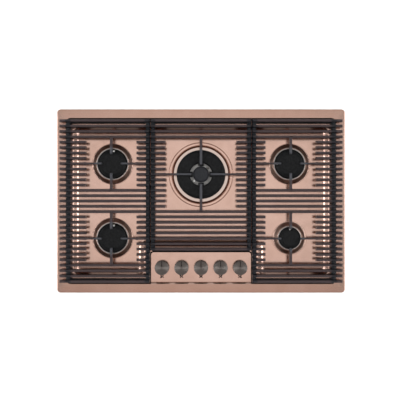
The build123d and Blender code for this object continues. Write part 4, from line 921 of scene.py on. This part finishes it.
def bars(x0, x1, first, last, slope0=END_SLOPE, slope1=END_SLOPE):
    """Bars along X on the rows from first to last."""
    length, middle, y = x1 - x0, (x0 + x1) / 2, first * ROW
    bar = block((length, BAR_W, GRATE_Z - BAR_Z), (middle, y, (GRATE_Z + BAR_Z) / 2))
    pick(bar, "faces", lambda f: f.normal.z > 0.9)
    narrow = ((length - slope0 - slope1) / length, BAR_TOP_W / BAR_W, 1)
    bpy.ops.transform.resize(value=narrow, center_override=mm(middle, y, GRATE_Z))
    move((slope0 - slope1) / 2, 0, 0)
    pick(bar, "edges", lambda e: lowest(e) > GRATE_Z - 1)
    soften(1.5, 3)
    pick(bar, "edges", lambda e: highest(e) < BAR_Z + 1)
    soften(0.8, 1)
    close_up(bar, "bars")
    if last > first:
        modify(bar, "ARRAY", count=last - first + 1, use_relative_offset=False,
               use_constant_offset=True, constant_offset_displace=mm(0, ROW, 0))
    return bar


# %% An arm
def arm(x, y, heading, reach, width):
    """Arm whose root is reach from the burner's axis at x, y; heading is where it points."""
    length = reach - ARM_GAP
    flare, foot, rise, slope = 3.5, 7.0, 6.0, 2.5
    piece = block((length, width, GRATE_Z - BAR_Z), (length / 2, 0, (GRATE_Z + BAR_Z) / 2))
    bpy.ops.mesh.bisect(plane_co=mm(foot, 0, 0), plane_no=(1, 0, 0))
    pick(piece, "verts", lambda v: v.co.x < 1e-6)
    bpy.ops.transform.resize(value=(1, (width + flare) / width, 1), center_override=mm(0, 0, GRATE_Z))
    pick(piece, "verts", lambda v: v.co.x > (length - 1) * MM and v.co.z < (BAR_Z + 1) * MM)
    move(0, 0, rise)
    pick(piece, "verts", lambda v: v.co.x > (length - 1) * MM and v.co.z > (GRATE_Z - 1) * MM)
    move(-slope, 0, 0)
    pick(piece, "edges", lambda e: sharp(e, 0.5) and max(v.co.x for v in e.verts) > 1e-6)
    soften(1.3, 3)
    close_up(piece, "arm")
    swing(-heading)
    move(*around(x, y, reach, heading + 180), 0)
    settle()
    return piece


# %% A frame of rails
def rails(x0, x1, y0, y1, rounded_corners, r, slim=0.0):
    """Frame under the bars; these corners (x, y) of it are rounded, and its front rail is
    narrower than the others by slim."""
    piece = rectangle(x1 - x0, y1 - y0, ((x0 + x1) / 2, (y0 + y1) / 2, RAIL_Z))
    bpy.ops.mesh.inset(thickness=RAIL_W * MM)
    bpy.ops.mesh.delete(type="FACE")
    pick(piece, "verts", lambda v: abs(v.co.y - (y0 + RAIL_W) * MM) < 1e-6)
    move(0, -slim, 0)
    bpy.ops.mesh.select_mode(type="FACE")
    select_all()
    extrude_up(RAIL_TOP - RAIL_Z)

    def at_corner(edge):
        point = edge.verts[0].co
        spots = [mm(x, y) for x, y in rounded_corners]
        upright = highest(edge) - lowest(edge) > 10
        return upright and any(abs(point.x - x) < 1e-6 and abs(point.y - y) < 1e-6 for x, y in spots)

    pick(piece, "edges", at_corner)
    soften(r, 6)
    for height, width in ((RAIL_TOP, 3.5), (RAIL_Z, 1.0)):
        pick(piece, "edges", lambda e: sharp(e) and lies_at(e, height))
        soften(width, 3)
    return close_up(piece, "rails")


# %% [markdown]
# ### Setting out
# The side grates are mirror images. Rows are counted from the middle row; the full bars
# lie on the outer rows and between the two burners.

# %% A side grate
def side_grate(name, mirrored):
    """The left grate, or its mirror image."""
    x_tip, x_in, x = -TIP_X, -INNER_X, BURNERS["rear_left"][0]
    window_out, window_in = 68.8, 68.0
    corners = [(-GRATE_X, -GRATE_Y), (-GRATE_X, GRATE_Y)]
    made = [rails(-GRATE_X, x_in, -GRATE_Y, GRATE_Y, corners, 7.0)]
    for first, last in ((-15, -12), (-2, 2), (12, 15)):
        made.append(bars(x_tip, x_in, first, last, slope1=BLUNT))
    for first, last in ((-11, -3), (3, 11)):
        made.append(bars(x_tip, x - window_out, first, last))
        made.append(bars(x + window_in, x_in, first, last, slope1=BLUNT))
    for row in (-7, 7):
        for heading, reach, width in (
            (0, window_out + 4, ARM_W), (180, window_in + 4, ARM_W),
            (-90, 5 * ROW, CROSS_ARM_W), (90, 5 * ROW, CROSS_ARM_W),
        ):
            made.append(arm(x, row * ROW, heading, reach, width))
    grate = join(name, made)
    if mirrored:
        bpy.ops.transform.mirror(constraint_axis=(True, False, False), center_override=(0, 0, 0))
        settle()
        bpy.ops.object.mode_set(mode="EDIT")
        close_up(grate, name)
    return grate


# %% The middle grate
def middle_grate(name):
    """The grate behind the knob panel, with one wide window."""
    window = 96.9
    corners = [(-CENTRE_X, CENTRE_FRONT), (CENTRE_X, CENTRE_FRONT)]
    made = [rails(-CENTRE_X, CENTRE_X, CENTRE_FRONT, GRATE_Y, corners, 6.0, slim=2.4)]
    for first, last in ((-9, -2), (12, 15)):
        made.append(bars(-CENTRE_X, CENTRE_X, first, last, BLUNT, BLUNT))
    made.append(bars(-CENTRE_X, -window, -1, 11, slope0=BLUNT))
    made.append(bars(window, CENTRE_X, -1, 11, slope1=BLUNT))
    for heading in (0, 180):
        made.append(arm(*CENTRE, heading, window + 4, ARM_W))
    for heading in (-90, 90):
        made.append(arm(*CENTRE, heading, 7 * ROW, CROSS_ARM_W))
    return join(name, made)


# %% Build the three grates
grates = {
    "grate_left": side_grate("iron_grate_left", False),
    "grate_right": side_grate("iron_grate_right", True),
    "grate_centre": middle_grate("iron_grate_centre"),
}
for node, grate in grates.items():
    dress(grate, grate_enamel, 40.0, node + "_body", node)
print("grates", {g.name: len(g.data.polygons) for g in grates.values()})

# %% [markdown]
# ### Feet
# Each grate stands on rubber pads pushed on its rails, so that it does not scratch the
# plate. A pad is a small block with soft edges.

# %% Rubber feet
FOOT_SIZE = (16.0, 8.0, 2.5)
FOOT_IN = 4.5


def foot(x, y):
    pad = block(FOOT_SIZE, (x, y, LEDGE_Z + FOOT_SIZE[2] / 2))
    round_edges(0.7)
    return close_up(pad, "pad")


def feet(side, xs, ys):
    pads = join("rubber_feet_" + side, [foot(x, y) for x in xs for y in ys])
    return dress(pads, foot_rubber, 50.0, f"grate_{side}_body", "feet_" + side)


rail_y = GRATE_Y - FOOT_IN
side_xs = (GRATE_X - 16.0, INNER_X + 16.0)
middle_xs = (-(CENTRE_X - 16.0), CENTRE_X - 16.0)
for pads in (
    feet("left", [-x for x in side_xs], (-rail_y, rail_y)),
    feet("right", side_xs, (-rail_y, rail_y)),
    feet("centre", middle_xs, (rail_y, CENTRE_FRONT + FOOT_IN)),
):
    print(pads.name, len(pads.data.polygons), "faces")

# %% [markdown]
# ## The burners
# Each burner has a turned aluminium crown with flame ports cut across its rim, and an
# enamelled cap on top. The cap of a side burner has a notch for the white spark
# electrode. Crown and cap are turned; the ports are one small block, repeated in a
# circle by Spin and taken out together.

# %% Crowns
PORT_W, PORT_DEEP, CAP_SEAT = 1.8, 4.5, 58.0
PROBE_HOLE_R = 3.2


def ports(x, y, z_top, r_in, r_out, count, offset=0.0):
    """Blocks in a circle, to cut flame ports down from z_top."""
    middle = around(x, y, (r_in + r_out) / 2, 0)
    cutter = block((r_out - r_in + 3.0, PORT_W, PORT_DEEP + 1), (*middle, z_top - PORT_DEEP / 2 + 0.5))
    bpy.ops.mesh.spin(steps=count, dupli=True, angle=2 * math.pi, center=mm(x, y, 0), axis=(0, 0, 1))
    close_up(cutter, "ports")
    swing(offset, x, y)
    settle()
    return cutter


def side_crown(name, x, y, kind, turn):
    """Crown with a skirt on the collar, a throat in the cup and ports in its rim."""
    throat, port, port_in, skirt = kind["throat"], kind["port"], kind["port_in"], kind["skirt"]
    low, deck, rim_z = 40.0, COLLAR_Z + 3.2, COLLAR_Z + 2.0
    line = [
        (throat - 3, low), (throat, low), (throat, COLLAR_Z), (skirt, COLLAR_Z), (skirt, rim_z),
        (skirt - 1.3, rim_z), (port + 0.6, COLLAR_Z + 0.7), (port, CAP_SEAT), (port_in, CAP_SEAT),
        (port_in, deck), (throat - 3, deck), (throat - 3, low),
    ]
    soft = [0.4, 0, 0.3, 0.3, 0.2, 0.8, 0.4, 0.4, 0.5, 0.5]
    crown = turned(name, rounded(line, soft, 2), (x, y), 120, solid=False)
    carve(crown, ports(x, y, CAP_SEAT, port_in, port, kind["ports"], 180 / kind["ports"]))
    for half in (0, 180):
        spot = around(x, y, kind["probe"], turn + half)
        carve(crown, post(*spot, PROBE_HOLE_R, COLLAR_Z - 1, CAP_SEAT + 1))
    return crown


for name, burner in BURNERS.items():
    crown = side_crown("turned_crown_" + name, *burner)
    dress(crown, crown_aluminium, 35.0, f"crown_{name}_body", "crown_" + name)
print("crown", crown.name, len(crown.data.polygons), "faces")

# %% [markdown]
# ### Caps
# A cap is a disc with a broad bevel; under it a ring centres it on the crown. Enamel
# flows off sharp edges before it is fired, so every edge is round.

# %% Caps of the side burners
def side_cap(name, x, y, kind, turn):
    """Cap with a notch for the electrode, open towards its edge."""
    ring, rim, flat = kind["port_in"] - 0.4, kind["cap"], kind["flat"]
    top, dish = CAP_SEAT + 6.0, 0.25
    line = [
        (ring - 3, CAP_SEAT), (ring - 3, CAP_SEAT - 3), (ring, CAP_SEAT - 3), (ring, CAP_SEAT),
        (rim, CAP_SEAT), (rim, CAP_SEAT + 1.4), (flat, top), (flat - 7, top), (flat - 9, top - dish),
        (2.0, top - dish),
    ]
    cap = turned(name, rounded(line, [0.3, 0.5, 0.3, 0.4, 0.7, 2.2, 0.6, 0.6], 3), (x, y), 96)
    px, py = around(x, y, kind["probe"], turn)
    carve(cap, post(px, py, PROBE_HOLE_R, CAP_SEAT - 4, top + 1))
    notch = block((12.0, 2 * PROBE_HOLE_R, 12.0), (6.0, 0, CAP_SEAT + 2))
    close_up(notch, "notch")
    swing(-turn)
    move(px, py, 0)
    settle()
    return carve(cap, notch)


for name, burner in BURNERS.items():
    cap = side_cap("enamel_cap_" + name, *burner)
    dress(cap, cap_enamel, 35.0, f"cap_{name}_body", "cap_" + name)
print("cap", cap.name, len(cap.data.polygons), "faces")

# %% [markdown]
# ### The middle burner
# Three rings of flame: a wide crown with ports at the rim, on the inside of the ring
# cap and round the pilot in the middle. The ring cap has four short tabs.

# %% Middle crown
SEAT_GAP = 0.05              # thickness of the enamel under a cap
RING_SEAT, PILOT_SEAT = PLATFORM_Z + 11, PLATFORM_Z + 13
MIDDLE_PROBES, MIDDLE_PROBE_R = (223.0, 44.0), 26.0


def middle_crown():
    """Crown with three walls for ports and two throats below."""
    x, y = CENTRE
    deck, base, ring, pilot, low = PLATFORM_Z, PLATFORM_Z + 4, RING_SEAT, PILOT_SEAT, PLATFORM_Z - 9
    line = [
        (9, deck), (12.3, deck), (12.3, low), (15.3, low), (15.3, deck), (41, deck), (41, low), (44, low),
        (44, deck), (64, deck), (64, base), (62, base), (62, ring), (56, ring), (56, base), (35.2, base),
        (35.2, ring), (31.6, ring), (31.6, base), (21, base), (21, pilot), (15, pilot), (15, base),
        (9, base), (9, deck),
    ]
    soft = [0, 0.3, 0.3, 0, 0, 0.3, 0.3, 0, 0.4, 0.8, 0.4, 0.4, 0.4, 0.5, 0.5]
    soft += [0.3, 0.3, 0.5, 0.5, 0.4, 0.4, 0.5, 0.3]
    crown = turned("turned_crown_middle", rounded(line, soft, 2), CENTRE, 144, solid=False)
    for top, r_in, r_out, count in ((ring, 56, 62, 60), (ring, 31.6, 35.2, 28), (pilot, 15, 21, 28)):
        carve(crown, ports(x, y, top, r_in, r_out, count))
    for degrees in MIDDLE_PROBES:
        carve(crown, post(*around(x, y, MIDDLE_PROBE_R, degrees), PROBE_HOLE_R, low - 1, base + 1))
    return crown


# %% Ring cap and pilot cap
def middle_ring_cap():
    """Ring with bevelled edges and four tabs on its inside."""
    seat = RING_SEAT + SEAT_GAP
    top = seat + 5
    line = [
        (31, seat), (35.6, seat), (35.6, seat - 3), (38.6, seat - 3), (38.6, seat), (67.6, seat),
        (67.6, seat + 1.4), (59.5, top), (34.5, top), (31, seat + 1.4), (31, seat),
    ]
    soft = [0.3, 0.3, 0.5, 0.3, 0.5, 0.8, 2.2, 1.5, 0.8]
    parts = [turned("cap", rounded(line, soft, 3), CENTRE, 144, solid=False)]
    for heading in (0, 90, 180, 270):
        tab = block((12.2, 15.5, 3.8), (23.0 + 6.1, 0, seat + 1.9))
        pick(tab, "edges", lambda e: min(v.co.x for v in e.verts) < 26.0 * MM)
        soften(0.9, 3)
        close_up(tab, "tab")
        swing(heading)
        move(*CENTRE, 0)
        settle()
        parts.append(tab)
    return join("enamel_cap_ring", parts)


def middle_pilot_cap():
    """Small cap over the pilot, slightly domed."""
    seat = PILOT_SEAT + SEAT_GAP
    top = seat + 6
    line = [
        (11.6, seat), (11.6, seat - 3), (14.6, seat - 3), (14.6, seat), (22.4, seat), (22.4, seat + 1.4),
        (17.5, top), (2.0, top + 0.2),
    ]
    return turned("enamel_cap_pilot", rounded(line, [0.3, 0.5, 0.3, 0.4, 0.7, 2.0], 3), CENTRE, 96)


# %% Dress the middle burner
ring_cap, pilot_cap, centre_crown = middle_ring_cap(), middle_pilot_cap(), middle_crown()
dress(centre_crown, cast_aluminium, 35.0, "crown_centre_body", "crown_centre")
dress(ring_cap, cap_enamel, 35.0, "cap_centre_outer_body", "cap_centre_outer")
dress(pilot_cap, pilot_enamel, 35.0, "cap_centre_inner_body", "cap_centre_inner")
print("middle burner", [len(piece.data.polygons) for piece in (centre_crown, ring_cap, pilot_cap)])

# %% [markdown]
# ### Spark electrodes and flame sensors
# A white ceramic pin with a steel tip stands beside each burner, and across from it
# the rounded end of a flame sensor. Both come up through the plate.

# %% Electrodes and sensors
def probe_places():
    """Electrode and sensor of each burner, with their foot and the cap's seat."""
    places = []
    for x, y, kind, turn in BURNERS.values():
        spark, sensor = (around(x, y, kind["probe"], turn + half) for half in (0, 180))
        places.append((spark, sensor, 44.3, CAP_SEAT))
    spark, sensor = (around(*CENTRE, MIDDLE_PROBE_R, degrees) for degrees in MIDDLE_PROBES)
    places.append((spark, sensor, 4.0, RING_SEAT))
    return places


pins, tips, sensors = [], [], []
for spark, sensor, foot_z, seat in probe_places():
    flange = [(3.6, foot_z - 3), (3.6, foot_z)]
    pin_z, tip_z, sensor_z = seat + 2, seat + 4.5, seat - 1.4
    line = flange + [(2.4, foot_z), (2.4, pin_z), (0.6, pin_z)]
    pins.append(turned("pin", rounded(line, [0.5, 0.3, 0.7], 3), spark, 24))
    line = [(0.6, pin_z), (0.6, tip_z), (0.15, tip_z)]
    tips.append(turned("tip", rounded(line, [0.35], 3), spark, 12))
    line = flange + [(2.0, foot_z), (2.0, sensor_z), (0.2, sensor_z)]
    sensors.append(turned("sensor", rounded(line, [0.5, 0.3, 1.7], 4), sensor, 24))
dress(join("spark_electrodes", pins), white_ceramic, 40.0, "root", "electrodes")
dress(join("spark_tips", tips), bright_steel, 40.0, "root", "electrode_tips")
dress(join("flame_sensors", sensors), heated_steel, 40.0, "root", "thermocouples")
print("probes", len(pins) + len(sensors))

# %% [markdown]
# ## The knobs
# Each knob is a turned steel cup with a hub inside. Its face is brushed in circles, so
# light spreads into a fan across it, and a groove from the middle to the back edge shows
# where it points. The rings of the brushing are a fine noise along the distance from the
# knob's axis, so each knob has a finish centred on itself.

# %% Brushed knob finish
def brushed_face(x, y):
    """Dark steel with fine rings round the knob's axis."""
    brushing = {"Anisotropic": 0.85, "Anisotropic_Rotation": 0.25}
    made = finish("brushed_knob_steel", (0.2, 0.19, 0.18), 1.0, 0.3, **brushing)
    tree = made.node_tree
    rings = new_node(tree, "TexNoise", Scale=5000.0, Detail=2.0)
    rings.noise_dimensions = "1D"
    tree.links.new(distance_from(tree, x, y), rings.inputs["W"])
    pattern = rings.outputs["Fac"]
    vary_colour(made, (0.135, 0.119, 0.11), (0.225, 0.203, 0.188), pattern)
    vary_roughness(made, 0.3, 0.42, pattern)
    emboss(made, 0.01, pattern, 0.4)
    return made


# %% [markdown]
# ### Turning a knob
# The skirt is slightly waisted under the face, and the face is a shallow dish inside a
# narrow polished edge. The groove is a rounded bar taken out of the finished cup, and a
# line of dark ink lies on its floor.

# %% Knobs
KNOB_R, KNOB_LOW, KNOB_TOP, LINE_IN = 19.4, 56.7, 76.2, 3.5


def knob(name, x):
    r, low, top = KNOB_R, KNOB_LOW, KNOB_TOP
    under, hub_z, dish = top - 6.0, low + 2.5, 0.25
    line = [
        (4.1, hub_z), (7.0, hub_z), (7.0, under), (r - 3.4, under), (r - 2.6, low), (r, low),
        (r, low + 2.0), (r - 0.5, low + 3.0), (r - 0.5, top - 4.0), (r, top - 3.0), (r, top),
        (r - 1.6, top), (r - 2.0, top - dish), (0.5, top - dish),
    ]
    soft = [0.3, 0.5, 0.5, 0.5, 0.4, 0.3, 0.3, 0.3, 0.3, 0.8, 0.3, 0.2]
    cup = turned("knob_cup_" + name, rounded(line, soft, 3), (x, KNOB_Y), 96)
    length = r - LINE_IN + 2.0
    groove = block((2.3, length, 2.0), (x, KNOB_Y + LINE_IN + length / 2, top + dish))
    round_edges(0.3)
    close_up(groove, "groove")
    carve(cup, groove)
    length = r - LINE_IN - 1.1
    ink = block((2.0, length, 0.4), (x, KNOB_Y + LINE_IN + 0.3 + length / 2, top - 0.62))
    coat(close_up(ink, "pointer_line_" + name), dark_ink)
    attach(ink, f"knob_{name}_body")
    return dress(cup, brushed_face(x, KNOB_Y), 35.0, f"knob_{name}_body", "knob_" + name)


for name, x in KNOBS.items():
    print(knob(name, x).name)

# %% [markdown]
# ### Seal rings and burner marks
# A soft ring on the panel keeps water out of each knob's hole. In front of each knob a
# small printed mark shows which burner it works: five dots, one of them larger.

# %% Seal rings
rings = []
low, top = PANEL_Z, PANEL_Z + 1.5
for x in KNOBS.values():
    line = [(4.35, low), (9.0, low), (9.0, top), (4.35, top), (4.35, low)]
    rings.append(turned("ring", rounded(line, [0, 0.6, 0.6], 3), (x, KNOB_Y), 48, solid=False))
dress(join("knob_seal_rings", rings), foot_rubber, 40.0, "root", "knob_seals")

# %% Burner marks
MARK_Y, INK = KNOB_Y - 25.2, 0.06
DOT_R, LARGE_DOT_R = 1.8, 2.4
DOTS = {
    "rear_left": (-2.9, 2.3), "rear_right": (2.9, 2.3), "front_left": (-2.9, -2.3),
    "front_right": (2.9, -2.3), "centre": (0.0, 0.0),
}


def dot(x, y, r):
    piece = start("circle", vertices=20, radius=r * MM, fill_type="NGON")
    move(x, y, PANEL_Z)
    extrude_up(INK)
    return close_up(piece, "dot")


def mark(name, x):
    """Five dots, laid out as the burners are; the dot of this knob's burner is the large one."""
    return join("mark", [
        dot(x + dx, MARK_Y + dy, LARGE_DOT_R if burner == name else DOT_R)
        for burner, (dx, dy) in DOTS.items()
    ])


marks = join("burner_marks", [mark(name, x) for name, x in KNOBS.items()])
coat(marks, dark_ink)
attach(marks, "root")
print("marks", len(marks.data.polygons))

# %% [markdown]
# ## Underneath
# The foam strip lies in the hollow of the border and seals it to the worktop. It is
# modelled with soft edges and slightly pressed; the casing and the parts in it stay as
# the CAD made them and get their own finishes.

# %% Foam seal
def foam_seal():
    """Strip 15 mm wide under the border, all the way round."""
    inset, width, height = 5.8, 15.0, 4.4
    strip = rounded_blank(PLATE_X - inset, PLATE_Y - inset, LIP_Z + 0.2, 9.0, 6)
    bpy.ops.mesh.inset(thickness=width * MM)
    bpy.ops.mesh.delete(type="FACE")
    select_all()
    extrude_up(height)
    pick(strip, "edges", sharp)
    soften(0.8, 2)
    return close_up(strip, "foam_seal_strip")


dress(foam_seal(), foam, 40.0, "root", "worktop_seal")

# %% Finishes of the parts carried over from the CAD
CARRIED = {
    "base_tray": galvanised, "fixing_clamps": galvanised, "m4_screws": bright_steel, "injectors": brass,
    "tap_bodies": brass, "inlet_elbow": brass, "cable_gland": black_plastic,
    "ignition_switches": black_plastic, "ignition_module": white_plastic, "ignition_leads": lead_rubber,
    "gas_manifold": drawn_aluminium, "supply_pipe": drawn_aluminium, "feed_pipe_centre": drawn_aluminium,
    "cup_centre": cast_aluminium,
}
for name in BURNERS:
    CARRIED["cup_" + name] = cast_aluminium
    CARRIED["feed_pipe_" + name] = drawn_aluminium
for name in KNOBS:
    CARRIED["spindle_" + name] = bright_steel
    CARRIED["tap_plug_" + name] = brass
for name, material in CARRIED.items():
    node = NODES[name]
    if not node.material_slots:
        node.data.materials.append(material)
    for slot in node.material_slots:
        slot.material = material
print("carried over", len(CARRIED))

# %% [markdown]
# ## The studio
# A white floor, a sky that is bright overhead and dim to the sides, and a large soft
# lamp that lifts the plain level. A polished plate shows what it mirrors. The zenith
# gives the flat fields their even tone, the dim flanks make the slopes read as brown
# lines, and a light panel on each side gives the bright dashes on collars and creases.
# The low sky is dimmer in front and behind, and so is the top away from the middle,
# which shades the borders.

# %% Floor
start("plane", size=30)
bpy.ops.object.mode_set(mode="OBJECT")
floor = bpy.context.object
floor.name = "studio_floor"
paper = finish("white_paper", (0.9, 0.9, 0.9), 0.0, 0.9, Emission_Color=(1, 1, 1, 1))
tree = paper.node_tree
ray = new_node(tree, "LightPath").outputs
seen = reckon(tree, "MAXIMUM", ray["Is Camera Ray"], ray["Is Glossy Ray"])
tree.links.new(product(tree, seen, 0.45), shader_of(paper)["Emission Strength"])
coat(floor, paper)
print("floor", floor.name)

# %% Sky
# Brightness of the sky by the sine of its height above the horizon.
SKY = [
    (0.0, 0.9), (0.12, 0.9), (0.3, 0.85), (0.5, 0.8), (0.64, 0.5), (0.75, 0.3), (0.85, 0.22),
    (0.93, 0.45), (0.955, 1.07),
]
world = bpy.data.worlds.new("studio_sky")
bpy.context.scene.world = world
world.use_nodes = True
tree = world.node_tree
way = new_node(tree, "SeparateXYZ", new_node(tree, "TexCoord").outputs["Generated"]).outputs
east, north, up = way["X"], way["Y"], way["Z"]
ramp = new_node(tree, "ValToRGB", up)
for k, (height, light) in enumerate(SKY):
    stop = ramp.color_ramp.elements[k] if k < 2 else ramp.color_ramp.elements.new(height)
    stop.position = height
    stop.color = (light, light, light, 1)

aside, along = reckon(tree, "ABSOLUTE", east), reckon(tree, "ABSOLUTE", north)
high, low = ease(tree, up, 0.85, 0.95), ease(tree, up, 0.15, 0.3)
to_side = product(tree, ease(tree, aside, 0.19, 0.25), high)
to_back = product(tree, ease(tree, north, 0.12, 0.17), high)
to_front = product(tree, ease(tree, north, -0.08, -0.165), high)
near_front = product(tree, to_side, ease(tree, north, 0.03, -0.09))
low_front = product(tree, ease(tree, north, -0.5, -0.75), low)
low_back = product(tree, ease(tree, north, 0.5, 0.75), low, ease(tree, aside, 0.07, 0.085))
# Each part of the sky, and the share of its light that it loses.
LOSSES = [
    (low_front, 0.78), (low_back, 0.72), (to_side, 0.54), (near_front, 0.22), (to_back, 0.34),
    (to_front, 0.45),
]
glow = ramp.outputs["Color"]
for part, loss in LOSSES:
    glow = product(tree, glow, reckon(tree, "SUBTRACT", 1.0, product(tree, part, loss)))
# A light panel on the left and one on the right.
panel_light = band(tree, aside, (0.44, 0.47), (0.75, 0.71))
panel_light = product(tree, panel_light, ease(tree, along, 0.21, 0.14), ease(tree, up, 0.0, 0.1))
glow = reckon(tree, "ADD", glow, product(tree, panel_light, 4.5))
# The top is also a little warmer behind and in front.
tint = blend(tree, to_front, blend(tree, to_back, (1.0, 1.0, 1.0), (1.0, 0.9, 0.84)), (1.0, 0.85, 0.78))
tree.links.new(tint, tree.nodes["Background"].inputs["Color"])
tree.links.new(glow, tree.nodes["Background"].inputs["Strength"])
print("sky nodes", len(tree.nodes))

# %% Lamp
# It points straight down, as a new lamp does, and stays out of the mirror image.
softbox = bpy.data.lights.new("overhead_softbox", "AREA")
softbox.shape, softbox.size, softbox.energy = "SQUARE", 2.4, 28.0
lamp = bpy.data.objects.new("overhead_softbox", softbox)
bpy.context.scene.collection.objects.link(lamp)
lamp.location = (0, 0, 3.0)
lamp.visible_glossy = False
lamp.visible_camera = False
print("lamp", lamp.name, softbox.energy, "W")

# %% [markdown]
# ## The camera
# The photograph is taken from straight above, about two metres over the plate. The
# small shift puts the plate's middle where it lies in the picture.

# %% Camera and view
eye = bpy.data.cameras.new("camera_above")
eye.sensor_width = 36.0
HALF_WIDTH, DISTANCE = 0.5550, 2.046
eye.lens = eye.sensor_width / 2 * DISTANCE / HALF_WIDTH
eye.shift_x, eye.shift_y = -0.0025, 0.0025
camera = bpy.data.objects.new("camera_above", eye)
bpy.context.scene.collection.objects.link(camera)
camera.location = (0, 0, RIM_Z * MM + DISTANCE)
bpy.context.scene.camera = camera
bpy.context.scene.view_settings.view_transform = "Standard"
print("lens", round(eye.lens, 2), "mm")
